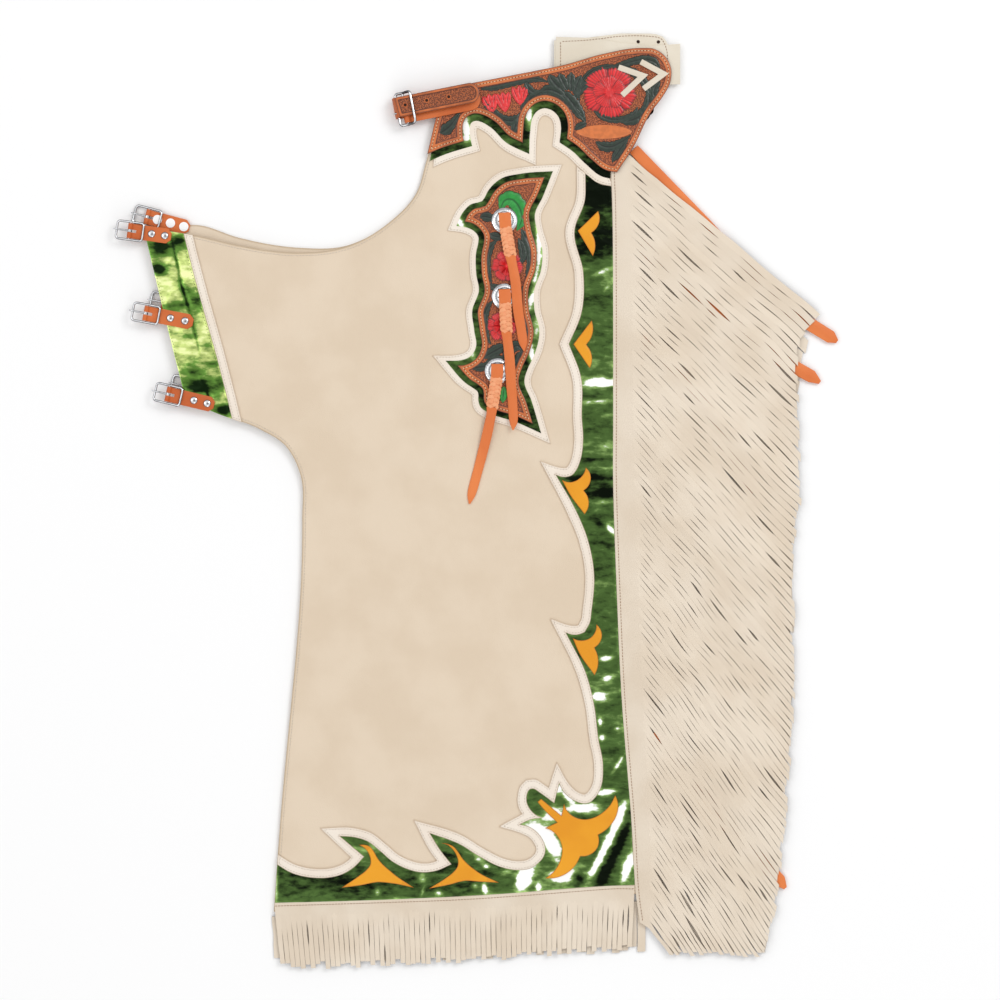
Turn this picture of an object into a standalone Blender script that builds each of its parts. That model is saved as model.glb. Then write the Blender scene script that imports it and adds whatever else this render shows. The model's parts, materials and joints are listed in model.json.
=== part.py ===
"""Western batwing riding chaps, folded together and laid flat on the floor.

The upper leg lies outer side up on its mirror twin. Tables are in millimetres: x runs across the
garment, y up the leg and z off the floor. An outline's rows are joined by a curve at round rows
and by a straight line between two corner rows.
"""
import math

import bmesh
import bpy
from mathutils import Matrix, Vector
from mathutils.geometry import delaunay_2d_cdt, intersect_line_line_2d

MM = 0.001
CORNER = "corner"
ROUND = "round"

# Leather and foil thicknesses, and the gap between pieces that touch
GAP = 0.3
PANEL = 1.6
EDGE_TRIM = 1.6
EDGE_FOIL = 0.7
UNDERLAY = 1.0
UNDERLAY_FOIL = 0.6
YOKE = 2.8
BADGE = 2.2
GOLD = 1.0
FRINGE = 1.2
LACE = 1.2
BILLET = 1.4
BELT = 1.7

# Heights over the underside of the upper leg
ON_PANEL = PANEL + GAP
ON_EDGE_FOIL = ON_PANEL + EDGE_FOIL + GAP
ON_UNDERLAY = ON_PANEL + UNDERLAY + GAP
ON_UNDERLAY_FOIL = ON_UNDERLAY + UNDERLAY_FOIL + GAP
ON_BADGE = ON_UNDERLAY_FOIL + BADGE + GAP
ON_YOKE = ON_UNDERLAY_FOIL + YOKE + GAP

# Heights over the floor
LEG_REST = PANEL + GAP
WING_LIFT = 4.6
FRINGE_REST = LEG_REST + ON_PANEL
BILLET_REST = PANEL + GAP + 0.05

# Widths of the bands that show beside each other
EDGE_BAND = 10.0
CUFF_BAND = 9.5
YOKE_FOIL_BAND = 7.5
YOKE_TRIM_BAND = 8.0
BADGE_FOIL_BAND = 6.0
BADGE_TRIM_BAND = 7.0

# How finely outlines and panels are divided
TURN_STEP = math.radians(22)
LONGEST_STEP = 60.0
PANEL_PITCH = 30.0
MITRE_LIMIT = 2.3
LOOP_WINDOW = 34

# Columns: x, y, bend, and how far the under leg's edge lies to the right of it and above it
LEG_OUTLINE = (
    (-42, 420, CORNER, 0, 0),
    (-54, 375, ROUND, 0, 0),
    (-66, 338, ROUND, 0, 0),
    (-93, 309, ROUND, 0, 0),
    (-139, 282, ROUND, 0, 1),
    (-197, 274, ROUND, 0, 6),
    (-261, 282, ROUND, 0, 9),
    (-309, 293, CORNER, 0, 12),
    (-364.5, 301.5, CORNER, 21.5, -1.5),
    (-338, 191, ROUND, 18, 12),
    (-318.5, 114, CORNER, 16, 9),
    (-288, 99, ROUND, 0, 6),
    (-237, 80, ROUND, 0, 5),
    (-209, 62, ROUND, 0, 2),
    (-192, 28, ROUND, 0, 0),
    (-190.5, -20, ROUND, 0, 0),
    (-193, -108, ROUND, 0, 0),
    (-203, -225, ROUND, 0, 0),
    (-213, -330, ROUND, 0, 0),
    (-221, -451, CORNER, -1, 0),
    (-39, -445, ROUND, 0, 0),
    (144, -432.5, ROUND, 0, 0),
    (190, -431, CORNER, 0, 0),
    (186, -330, ROUND, 0, 0),
    (180, -232, ROUND, 0, 0),
    (173.5, -100, ROUND, 0, 0),
    (171, 0, ROUND, 0, 0),
    (169.5, 100, ROUND, 0, 0),
    (168, 250, ROUND, 0, 0),
    (166, 380, CORNER, 0, 0),
    (188, 428, CORNER, 0, 0),
    (190, 448, CORNER, 0, 0),
    (84, 455, CORNER, 0, 0),
    (83, 472, CORNER, 0, 0),
    (30, 462, CORNER, 0, 0),
    (-28, 449, CORNER, 0, 0),
)

# Columns: x, y, how far it spreads and how high it stands
SWELLS = (
    (-130, 175, 62, 1.3),
    (-85, 15, 72, 1.6),
    (-125, -140, 75, 1.3),
    (-45, -230, 60, 1.2),
)

# The scalloped lower edge of the yoke, from its front corner to its back tip; columns: x, y, bend
YOKE_LOWER = (
    (-53, 382, CORNER),
    (-38, 388.5, ROUND),
    (-12.5, 396.5, CORNER),
    (-14, 410, ROUND),
    (-11.5, 420.5, ROUND),
    (-2, 426.5, ROUND),
    (10, 424.5, ROUND),
    (21, 418, ROUND),
    (38, 401.5, ROUND),
    (52, 394.5, CORNER),
    (52.5, 407, ROUND),
    (55.5, 425, ROUND),
    (63, 435.5, ROUND),
    (75, 440.5, ROUND),
    (88, 437, ROUND),
    (98, 427, ROUND),
    (101.5, 413.5, ROUND),
    (100.3, 399, CORNER),
    (112, 391, ROUND),
    (126, 377.5, ROUND),
    (144, 364.3, ROUND),
    (155.5, 362, CORNER),
)

# The rest of the yoke, from its back tip round to its front corner
YOKE_UPPER = (
    (173, 389, ROUND),
    (193.5, 429, ROUND),
    (214, 461, ROUND),
    (215, 476, ROUND),
    (207, 491, ROUND),
    (197, 497.5, ROUND),
    (182, 498.7, ROUND),
    (97, 480, ROUND),
    (32, 467, ROUND),
    (-34, 454.6, CORNER),
    (-44.5, 418, ROUND),
)

# The under leg's yoke: how much wider than the upper one it is cut, and the region that stays below the belt
UNDER_YOKE_MARGIN = 2.5
UNDER_YOKE_REACH = ((-70, 340), (83, 340), (190, 340), (230, 456), (83, 456), (-70, 456))

# Hidden upper edge of what lies under the yoke, from its back tip to its front corner
UNDERLAY_UPPER = (
    (148.4, 354, CORNER),
    (148.4, 367.5, CORNER),
    (165, 384.5, CORNER),
    (187, 428, CORNER),
    (189, 447, CORNER),
    (84.5, 455, CORNER),
    (83, 471, CORNER),
    (30, 461.5, CORNER),
    (-27.5, 448.5, CORNER),
    (-41.5, 420, CORNER),
)

# Where the edge foil meets its pale trim: down the back edge, then along the hem to the front
EDGE_WAVE = (
    (121.5, 384, CORNER),
    (120, 331, ROUND),
    (109, 299, CORNER),
    (118.5, 252, ROUND),
    (116.5, 208, ROUND),
    (102.7, 173.6, CORNER),
    (116, 137, ROUND),
    (117, 92, ROUND),
    (115, 45, ROUND),
    (105, 29, ROUND),
    (88.3, 30, CORNER),
    (109, -6.5, ROUND),
    (123, -40, ROUND),
    (127.5, -120, ROUND),
    (120, -143, ROUND),
    (99.2, -143.4, CORNER),
    (122, -190, ROUND),
    (135, -260, ROUND),
    (136.5, -317, ROUND),
    (124, -331, ROUND),
    (105, -326, ROUND),
    (92, -309, CORNER),
    (86.5, -331, CORNER),
    (73, -321, ROUND),
    (60, -315.5, ROUND),
    (56, -325, ROUND),
    (74, -347, CORNER),
    (61, -349, ROUND),
    (48.5, -354.6, CORNER),
    (70, -366, ROUND),
    (76.5, -385, ROUND),
    (62, -402, ROUND),
    (30, -402, ROUND),
    (-18, -376, ROUND),
    (-50.5, -364, CORNER),
    (-38, -384, ROUND),
    (-26.6, -398.4, CORNER),
    (-61.5, -407, ROUND),
    (-91, -395.5, ROUND),
    (-119, -373, ROUND),
    (-149.4, -367.4, CORNER),
    (-122.7, -390, CORNER),
    (-147, -409.5, ROUND),
    (-178, -413.2, ROUND),
    (-226, -394, CORNER),
)

# Where the cuff's foil meets its trim, down the wing
CUFF_WAVE = (
    (-322, 301, CORNER),
    (-303, 226.5, ROUND),
    (-284.5, 160.5, ROUND),
    (-264.5, 80, CORNER),
)

# Sewn edge of the side fringe, down the back edge, and of the hem fringe, from front to back
SIDE_SEAM = (
    (149, 366.5, CORNER),
    (151, 300, ROUND),
    (151.5, 100, ROUND),
    (151.5, 20, ROUND),
    (155.5, -100, ROUND),
    (161, -218, ROUND),
    (171.5, -350, ROUND),
    (175.5, -421, ROUND),
    (180.5, -462, CORNER),
)
HEM_SEAM = (
    (-221, -441, CORNER),
    (-39, -435, ROUND),
    (45, -430, ROUND),
    (144, -422.5, ROUND),
    (174.8, -422, CORNER),
)

# Where strands leave the strip and where they end; columns: root x, root y, tip x, tip y
SIDE_STRANDS = (
    (170, 381, 380.5, 205),
    (171, 346, 355, 181),
    (171.6, 288, 354, 115),
    (173, 214, 358, 25),
    (173.3, 107, 349.5, -85),
    (175, 22, 351, -185),
    (178.8, -85, 345, -294),
    (184.3, -220, 333.5, -427),
    (189.8, -309, 319, -498),
    (193, -390, 263, -497),
    (191, -469, 212, -498),
)
HEM_STRANDS = (
    (-220, -456.5, -214.5, -511.5),
    (-22.5, -449, -21.5, -505.5),
    (174.3, -437, 172.7, -488.5),
)
UNDER_SIDE_STRANDS = (
    (178, 374, 372, 208),
    (180, 288, 352, 117),
    (181, 107, 346, -78),
    (184, 22, 350, -180),
    (192, -220, 331, -420),
    (198, -309, 316, -492),
    (200, -462, 214, -494),
)
UNDER_HEM_STRANDS = (
    (-224, -463, -222.5, -503),
    (-39, -457, -38, -500),
    (187, -445, 187.5, -491),
)
SIDE_STRAND_COUNT = 84
HEM_STRAND_COUNT = 54
UNDER_SIDE_STRAND_COUNT = 56
UNDER_HEM_STRAND_COUNT = 40
CUT_SHARE = 0.13
TIP_SHARE = 0.72

# How high the strands' tips rest, and how much higher some lie than others
SIDE_RIPPLE = 2.0
HEM_TIP_REST = 2.6
HEM_RIPPLE = 1.6
UNDER_TIP_REST = 0.35
UNDER_RIPPLE = 0.1

# The patch on the thigh
BADGE_OUTLINE = (
    (76, 357, CORNER),
    (68.5, 338, ROUND),
    (59, 316, ROUND),
    (61, 300, ROUND),
    (67.3, 276, ROUND),
    (66, 256, ROUND),
    (58.5, 234, ROUND),
    (58.5, 213, ROUND),
    (64, 186, ROUND),
    (59, 164, ROUND),
    (47.5, 134, ROUND),
    (56, 109, ROUND),
    (63, 86, CORNER),
    (44, 94.5, ROUND),
    (23, 101, ROUND),
    (10.5, 108.5, ROUND),
    (8, 124, ROUND),
    (-5, 134, ROUND),
    (-20, 150, CORNER),
    (0, 157, ROUND),
    (6.5, 169, ROUND),
    (4.5, 190, ROUND),
    (3, 212, ROUND),
    (9.5, 229, ROUND),
    (6.8, 252, ROUND),
    (7, 275, ROUND),
    (9.2, 293, ROUND),
    (1, 303.5, ROUND),
    (-12, 308, CORNER),
    (-1.5, 322, ROUND),
    (11, 325.5, ROUND),
    (18.5, 338, ROUND),
    (31, 350, ROUND),
    (51, 355, ROUND),
)

# Silver conchos on the patch; columns: x, y
CONCHOS = ((32, 309.3), (32, 225.9), (24.4, 143.9))
CONCHO_RADIUS = 14.0
CONCHO_RIM = 1.0
CONCHO_RISE = 1.8

# Braided strings through the conchos; columns: x, y, height over the leg's underside, width, thickness
STRINGS = (
    (
        (32.0, 317.5, 9.8, 10.5, 1.6),
        (32.6, 307.0, 9.8, 10.5, 1.6),
        (33.2, 303.0, 9.7, 13.5, 4.0),
        (34.6, 292.0, 7.4, 15.0, 4.5),
        (38.4, 271.5, 6.6, 14.0, 4.0),
        (39.6, 265.0, 6.6, 10.5, 1.8),
        (44.0, 241.0, 9.2, 10.5, 1.8),
        (46.6, 212.0, 9.2, 10.5, 1.8),
        (50.2, 190.0, 6.6, 10.5, 1.8),
        (52.2, 176.0, 6.6, 9.5, 1.8),
        (53.2, 166.5, 6.6, 2.0, 1.6),
    ),
    (
        (32.0, 233.5, 9.8, 10.5, 1.6),
        (32.4, 224.0, 9.8, 10.5, 1.6),
        (32.7, 219.5, 9.7, 13.5, 4.0),
        (33.0, 208.5, 7.4, 15.0, 4.5),
        (34.2, 188.0, 6.6, 14.0, 4.0),
        (34.8, 181.5, 6.6, 10.5, 1.8),
        (37.4, 158.0, 9.2, 10.5, 1.8),
        (39.2, 130.0, 9.2, 10.5, 1.8),
        (40.6, 112.0, 6.6, 10.5, 1.8),
        (41.8, 90.0, 6.6, 9.5, 1.8),
        (41.2, 79.5, 6.6, 2.0, 1.6),
    ),
    (
        (24.0, 151.5, 9.8, 10.5, 1.6),
        (23.8, 142.0, 9.8, 10.5, 1.6),
        (23.4, 137.5, 9.7, 13.5, 4.0),
        (21.8, 126.0, 7.4, 15.0, 4.5),
        (18.2, 105.0, 6.6, 14.0, 4.0),
        (17.2, 98.5, 6.6, 10.5, 1.8),
        (13.8, 79.0, 5.2, 10.5, 1.8),
        (9.4, 60.5, 3.2, 10.5, 1.8),
        (3.0, 36.0, 1.9, 10.5, 1.8),
        (-4.0, 10.0, 1.9, 9.5, 1.8),
        (-6.4, -1.5, 1.9, 2.0, 1.6),
    ),
)

# Gold leaves on the edge foil: two small ones, two with a curled head, two on the hem, one corner scroll
GOLD_LEAVES = (
    (
        (134.8, 320, CORNER),
        (136.2, 308.5, ROUND),
        (127.4, 296, CORNER),
        (131.6, 284, ROUND),
        (129, 270.4, CORNER),
        (112.5, 298.3, CORNER),
    ),
    (
        (127.8, 199.7, CORNER),
        (129, 187, ROUND),
        (121.9, 173, CORNER),
        (128, 160, ROUND),
        (125.7, 147, CORNER),
        (107.7, 173.4, CORNER),
    ),
    (
        (121.5, 38, CORNER),
        (126.8, 27.5, ROUND),
        (119, 12.5, CORNER),
        (124.6, -1, ROUND),
        (120, -13.5, CORNER),
        (103.6, 8.5, ROUND),
        (95, 24.3, CORNER),
        (104.5, 21.8, ROUND),
        (114.5, 26, ROUND),
    ),
    (
        (133, -134.6, CORNER),
        (139, -146.5, ROUND),
        (130.8, -160.2, CORNER),
        (135, -174, ROUND),
        (131, -190.5, CORNER),
        (114, -166, ROUND),
        (107, -149.8, CORNER),
        (117, -152.3, ROUND),
        (126, -149.6, ROUND),
    ),
    (
        (-128, -377, CORNER),
        (-116, -379, ROUND),
        (-108, -391, ROUND),
        (-91, -408, ROUND),
        (-68, -424, CORNER),
        (-90, -419.5, ROUND),
        (-107, -418, CORNER),
        (-127, -421.5, ROUND),
        (-147, -424, CORNER),
        (-128, -411, ROUND),
        (-115.5, -398, ROUND),
    ),
    (
        (-37, -375, CORNER),
        (-24, -379, ROUND),
        (-15, -391, ROUND),
        (3, -407, ROUND),
        (25.5, -418.5, CORNER),
        (5, -417.5, ROUND),
        (-11, -416.5, CORNER),
        (-30, -421, ROUND),
        (-51, -425, CORNER),
        (-32, -413, ROUND),
        (-19.5, -400, ROUND),
    ),
    (
        (68.3, -329.8, CORNER),
        (72.2, -326.4, CORNER),
        (94.5, -345, CORNER),
        (97.3, -332, CORNER),
        (104, -343, ROUND),
        (120, -349, ROUND),
        (139, -342, ROUND),
        (153.7, -322.5, CORNER),
        (157, -334, ROUND),
        (148, -356, ROUND),
        (134.8, -366, CORNER),
        (133.5, -381, ROUND),
        (115.4, -389.5, CORNER),
        (100, -408.5, ROUND),
        (76.7, -414, CORNER),
        (92, -397, ROUND),
        (95, -379, ROUND),
        (88, -365, ROUND),
        (76.7, -358.4, CORNER),
        (89.8, -352.4, CORNER),
        (76, -339, ROUND),
    ),
)

# Tan straps that reach out under the side fringe; columns: x, y, height, width, thickness
LEG_BILLETS = (
    (
        (174, 388.5, BILLET_REST, 12, BILLET),
        (199, 361, BILLET_REST, 15, BILLET),
        (251, 307, BILLET_REST, 15, BILLET),
        (303, 251, BILLET_REST, 15, BILLET),
        (351, 206, BILLET_REST, 15, BILLET),
        (391, 181.5, BILLET_REST, 14, BILLET),
        (398, 176.5, BILLET_REST, 4, BILLET),
    ),
    (
        (180, 284, BILLET_REST, 15, BILLET),
        (256, 215, BILLET_REST, 15, BILLET),
        (330, 160, BILLET_REST, 15, BILLET),
        (370, 138, BILLET_REST, 14, BILLET),
        (379, 131.5, BILLET_REST, 4, BILLET),
    ),
    (
        (182, 182, BILLET_REST, 15, BILLET),
        (245, 120, BILLET_REST, 15, BILLET),
        (284, 46, BILLET_REST, 15, BILLET),
        (302, 18, BILLET_REST, 14, BILLET),
        (307, 10, BILLET_REST, 4, BILLET),
    ),
    (
        (192, -258, BILLET_REST, 15, BILLET),
        (287, -366, BILLET_REST, 15, BILLET),
        (335, -417, BILLET_REST, 14, BILLET),
        (341, -425, BILLET_REST, 4, BILLET),
    ),
)

# Cream laces tied through yoke and belt; columns: x, y of the two ends and the bend between them
LACES = (
    ((157, 477.4), (184, 468), (161, 446.5)),
    ((181.5, 483.5), (206.5, 470), (184.5, 453.5)),
)
LACE_WIDTH = 6.4

# The folded belt behind the yoke: its front leaf and the end that shows above it
BELT_FRONT = (
    (87.5, 464, CORNER),
    (130, 459.5, ROUND),
    (225, 459.5, CORNER),
    (225, 503.8, CORNER),
    (192, 501.5, ROUND),
    (159, 505, ROUND),
    (126, 510.3, ROUND),
    (88.5, 511.5, CORNER),
)
BELT_BACK = (
    (87.5, 468, CORNER),
    (206, 462, CORNER),
    (212, 474, ROUND),
    (212.5, 500, ROUND),
    (206, 512, ROUND),
    (192, 515.3, ROUND),
    (160, 515.5, ROUND),
    (125, 511, ROUND),
    (88.5, 509, CORNER),
)
BELT_FOLD = 3.0

# The cuff's buckles; columns: leg, x, y, turn in degrees, strap length
BUCKLES = (
    ("cuff", -379.3, 297.7, -8.0, 47.0),
    ("cuff", -361.8, 207.1, -11.0, 54.0),
    ("cuff", -337.3, 118.3, -13.4, 53.0),
    ("under", -361.1, 313.7, -15.0, 49.0),
    ("under", -342.5, 219.5, -11.0, 50.0),
    ("under", -319.8, 127.1, -13.4, 50.0),
)
BUCKLE_TILT = -6.2
BAR_HEIGHT = {"cuff": 10.6, "under": 3.1}
FRAME_LENGTH = 32.0
FRAME_WIDTH = 22.0
FRAME_WIRE = 1.2
BAR_RADIUS = 1.0
STRAP_WIDTH = 16.4
STRAP_TOP = 0.2
STRAP = 1.4
LOOP_INNER = 1.35
SLOT = 3.2
SLOT_REACH = 7.0
STRAP_POINT = 6.0
PRONG_LENGTH = 18.6
PRONG_WIRE = 0.85
PRONG_WIDTH = 2.4

# The front strap; places are along it, across it and over the floor, from the middle of its buckle's bar
FRONT_X = -76.3
FRONT_Y = 428.1
FRONT_TURN = 11.2
FRONT_BAR_HEIGHT = 10.6
FRONT_FRAME_LENGTH = 20.0
FRONT_FRAME_WIDTH = 38.0
FRONT_FRAME_SHIFT = 3.5
FRONT_WIRE = 1.5
FRONT_BAR_RADIUS = 1.3
FRONT_RISE = 7.6
CHAPE_WIDTH = 24.0
CHAPE_LENGTH = 83.0
CHAPE = 1.8
CHAPE_TOP = 0.3
CHAPE_LOOP_INNER = 1.75
FRONT_SLOT = 3.6
FRONT_PRONG_LENGTH = 13.4
FRONT_PRONG_WIRE = 0.9
BILLET_WIDTH = 22.0
BILLET_SHIFT = 6.0
BILLET_LENGTH = 83.0
BILLET_ROOT = 31.5
BILLET_HEIGHT = 14.3
FRONT_BILLET = 2.2
BILLET_BEND = -7.5
BILLET_BEND_REACH = 5.0
BILLET_HOLE = 1.9

# Surface finishes; columns: red, green and blue as seen, roughness, metallic
FINISHES = {
    "cream_leather": (224, 207, 185, 0.62, 0.0),
    "pale_leather": (238, 226, 213, 0.55, 0.0),
    "fringe_leather": (229, 216, 197, 0.65, 0.0),
    "green_foil": (88, 128, 62, 0.22, 1.0),
    "gold_leather": (236, 165, 50, 0.5, 0.0),
    "tan_leather": (218, 122, 70, 0.5, 0.0),
    "tooled_leather": (190, 105, 60, 0.5, 0.0),
    "chrome": (205, 207, 210, 0.15, 1.0),
}


def clear_scene():
    for thing in list(bpy.data.objects):
        bpy.data.objects.remove(thing)


def finish(name):
    """The named material, made once."""
    if name in bpy.data.materials:
        return bpy.data.materials[name]
    red, green, blue, roughness, metallic = FINISHES[name]
    material = bpy.data.materials.new(name)
    material.use_nodes = True
    shader = material.node_tree.nodes["Principled BSDF"]
    seen = [(part / 255) ** 2.2 for part in (red, green, blue)]
    shader.inputs["Base Color"].default_value = (*seen, 1)
    shader.inputs["Roughness"].default_value = roughness
    shader.inputs["Metallic"].default_value = metallic
    material.diffuse_color = (*seen, 1)
    return material


def solid_from(name, mesh, material):
    """An object from a bmesh in millimetres, with its faces turned outwards."""
    bmesh.ops.recalc_face_normals(mesh, faces=mesh.faces)
    bmesh.ops.scale(mesh, vec=(MM, MM, MM), verts=mesh.verts)
    data = bpy.data.meshes.new(name)
    mesh.to_mesh(data)
    mesh.free()
    thing = bpy.data.objects.new(name, data)
    bpy.context.collection.objects.link(thing)
    data.materials.append(finish(material))
    return thing


def combined(base, other, operation):
    """The base object joined with the other, or cut by it; the other is used up."""
    step = base.modifiers.new(operation, "BOOLEAN")
    step.operation = operation
    step.object = other
    seen = base.evaluated_get(bpy.context.evaluated_depsgraph_get())
    data = bpy.data.meshes.new_from_object(seen)
    base.modifiers.clear()
    base.data = data
    bpy.data.objects.remove(other)
    return base


def smooth_step(share):
    share = min(1.0, max(0.0, share))
    return share * share * (3 - 2 * share)


def leg_height(x, y):
    """The underside of the upper leg over the floor: it rises over the under leg's cuff and in soft swells."""
    lift = WING_LIFT * smooth_step((-120 - x) / 142) * smooth_step((y + 40) / 120)
    for swell_x, swell_y, spread, rise in SWELLS:
        far = ((x - swell_x) ** 2 + (y - swell_y) ** 2) / spread**2
        lift += rise * math.exp(-far)
    return LEG_REST + lift


def over_leg(level):
    """A height function for what lies this far over the upper leg's underside."""
    return lambda x, y: leg_height(x, y) + level


def level_at(height):
    return lambda x, y: height


def smooth(rows, closed=False):
    """Plan points along the rows, closer together where the line turns."""
    spots = [Vector(row[:2]) for row in rows]
    count = len(rows)

    def heading(i):
        if rows[i][2] == CORNER or (not closed and i in (0, count - 1)):
            return None
        back = spots[i] - spots[i - 1]
        on = spots[(i + 1) % count] - spots[i]
        return (back / back.length_squared + on / on.length_squared).normalized()

    points = []
    for i in range(count if closed else count - 1):
        start, end = spots[i], spots[(i + 1) % count]
        leave, arrive = heading(i), heading((i + 1) % count)
        chord = end - start
        along = chord.normalized()
        if leave is None and arrive is None:
            points.append(start)
            continue
        if leave is None:
            leave = 2 * along.dot(arrive) * along - arrive
        if arrive is None:
            arrive = 2 * along.dot(leave) * along - leave
        turn = leave.angle(along) + along.angle(arrive)
        steps = max(1, math.ceil(turn / TURN_STEP), math.ceil(chord.length / LONGEST_STEP))
        for k in range(steps):
            t = k / steps
            from_start = (1 + 2 * t) * (1 - t) ** 2 * start + t * (1 - t) ** 2 * chord.length * leave
            from_end = t * t * (3 - 2 * t) * end + t * t * (t - 1) * chord.length * arrive
            points.append(from_start + from_end)
    return points if closed else points + [spots[-1]]


def offset(points, distance, closed=False):
    """The line moved to its left, with corners mitred and loops cut off."""
    count = len(points)
    moved = []
    for i, here in enumerate(points):
        sides = []
        if closed or i > 0:
            sides.append(here - points[i - 1])
        if closed or i < count - 1:
            sides.append(points[(i + 1) % count] - here)
        normals = [Vector((-side.y, side.x)).normalized() for side in sides]
        total = normals[0] + normals[-1]
        mitre = total * (2 * distance / max(total.length_squared, 1e-6))
        if mitre.length > MITRE_LIMIT * abs(distance):
            mitre = mitre.normalized() * MITRE_LIMIT * abs(distance)
        moved.append(here + mitre)
    return without_loops(moved)


def without_loops(points):
    """The line without the small loops that an offset makes at tight bends."""
    kept = list(points)
    i = 0
    while i < len(kept) - 3:
        for j in range(min(i + LOOP_WINDOW, len(kept) - 2), i + 1, -1):
            crossing = intersect_line_line_2d(kept[i], kept[i + 1], kept[j], kept[j + 1])
            if crossing:
                kept[i + 1 : j + 1] = [crossing]
                break
        i += 1
    return kept


def area_of(outline):
    pairs = zip(outline, outline[1:] + outline[:1])
    return sum(a.x * b.y - b.x * a.y for a, b in pairs) / 2


def turned_left(outline):
    """The outline in anticlockwise order."""
    return outline if area_of(outline) > 0 else outline[::-1]


def grown(outline, distance):
    """A closed outline moved outwards."""
    return offset(turned_left(outline), -distance, closed=True)


def inside(spot, outline):
    """Whether a spot is in an outline, and how far from its edge."""
    odd, nearest = False, math.inf
    for a, b in zip(outline, outline[1:] + outline[:1]):
        if (a.y > spot.y) != (b.y > spot.y):
            odd ^= spot.x < a.x + (b.x - a.x) * (spot.y - a.y) / (b.y - a.y)
        side = b - a
        share = min(1.0, max(0.0, (spot - a).dot(side) / max(side.length_squared, 1e-9)))
        nearest = min(nearest, (spot - a - side * share).length)
    return odd, nearest


def lattice(outline, pitch):
    """A grid of spots inside the outline, clear of its edge."""
    low_x, high_x = min(p.x for p in outline), max(p.x for p in outline)
    low_y, high_y = min(p.y for p in outline), max(p.y for p in outline)
    spots = []
    for row in range(int(low_y // pitch), int(high_y // pitch) + 1):
        for column in range(int(low_x // pitch), int(high_x // pitch) + 1):
            spot = Vector(((column + row % 2 / 2) * pitch, row * pitch))
            within, clear = inside(spot, outline)
            if within and clear > 0.4 * pitch:
                spots.append(spot)
    return spots


def largest_island(faces):
    """The faces of the largest stretch that is joined edge to edge."""
    at_edge = {}
    for number, face in enumerate(faces):
        for a, b in zip(face, face[1:] + face[:1]):
            at_edge.setdefault(frozenset((a, b)), []).append(number)
    beside = {number: set() for number in range(len(faces))}
    for group in at_edge.values():
        for number in group:
            beside[number].update(group)
    left, best = set(beside), []
    while left:
        island, todo = set(), [left.pop()]
        while todo:
            here = todo.pop()
            island.add(here)
            new = beside[here] & left
            left -= new
            todo += new
        best = max(best, list(island), key=len)
    return [faces[number] for number in sorted(best)]


def plan(include, exclude=(), pitch=None):
    """Triangles of the area in all the outlines to include and in none to exclude.

    Returns the places, the triangles, and for each place the number of the outline point it came from.
    """
    outlines = [turned_left(list(outline)) for outline in (*include, *exclude)]
    spots, loops = [], []
    for outline in outlines:
        loops.append(list(range(len(spots), len(spots) + len(outline))))
        spots += outline
    if pitch:
        spots += lattice(outlines[0], pitch)
    places, _, faces, sources, _, owners = delaunay_2d_cdt(spots, [], loops, 0, 1e-4)
    wanted, unwanted = set(range(len(include))), set(range(len(include), len(outlines)))
    kept = [f for f, own in zip(faces, owners) if wanted <= set(own) and not unwanted & set(own)]
    return places, largest_island(kept), [source[0] if source else None for source in sources]


def slab(name, material, shape, low, thickness, lows=None):
    """One closed solid: the plan shape carried up by its thickness from its lower surface."""
    places, faces, sources = shape
    mesh = bmesh.new()
    corners = {}
    for number in sorted({corner for face in faces for corner in face}):
        x, y = places[number]
        z = lows[sources[number]] if lows else low(x, y)
        corners[number] = mesh.verts.new((x, y, z))
    for face in faces:
        mesh.faces.new([corners[number] for number in face])
    raised = bmesh.ops.extrude_face_region(mesh, geom=mesh.faces[:])["geom"]
    lifted = [part for part in raised if isinstance(part, bmesh.types.BMVert)]
    bmesh.ops.translate(mesh, vec=(0, 0, thickness), verts=lifted)
    return solid_from(name, mesh, material)


def ribbon(name, material, rows, height=None):
    """A strap along the rows: x, y, height, width and thickness of each cross-section."""
    spots = [Vector(row[:2]) for row in rows]
    mesh = bmesh.new()
    rings = []
    for i, (x, y, level, width, thickness) in enumerate(rows):
        way = (spots[min(i + 1, len(rows) - 1)] - spots[max(i - 1, 0)]).normalized()
        side = Vector((-way.y, way.x)) * width / 2
        low = level + (height(x, y) if height else 0)
        ring = []
        for sign, z in ((1, low), (-1, low), (-1, low + thickness), (1, low + thickness)):
            ring.append(mesh.verts.new((x + sign * side.x, y + sign * side.y, z)))
        rings.append(ring)
    for here, there in zip(rings, rings[1:]):
        for k in range(4):
            mesh.faces.new((here[k], here[(k + 1) % 4], there[(k + 1) % 4], there[k]))
    mesh.faces.new(rings[0])
    mesh.faces.new(rings[-1][::-1])
    return solid_from(name, mesh, material)


def leg_outline(under=False):
    if not under:
        return smooth(LEG_OUTLINE, closed=True)
    rows = [(x + right, y + up, bend) for x, y, bend, right, up in LEG_OUTLINE]
    return smooth(rows, closed=True)


def yoke_outline():
    return smooth((*YOKE_LOWER, *YOKE_UPPER), closed=True)


def under_yoke_band(width):
    """What lies under the yoke and shows this far below its lower edge."""
    lower = offset(smooth(YOKE_LOWER), -width)
    return lower + smooth(UNDERLAY_UPPER)


def side_strip_outline():
    seam = smooth(SIDE_SEAM)
    roots = [Vector(row[:2]) for row in SIDE_STRANDS]
    return seam + roots[::-1]


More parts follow.
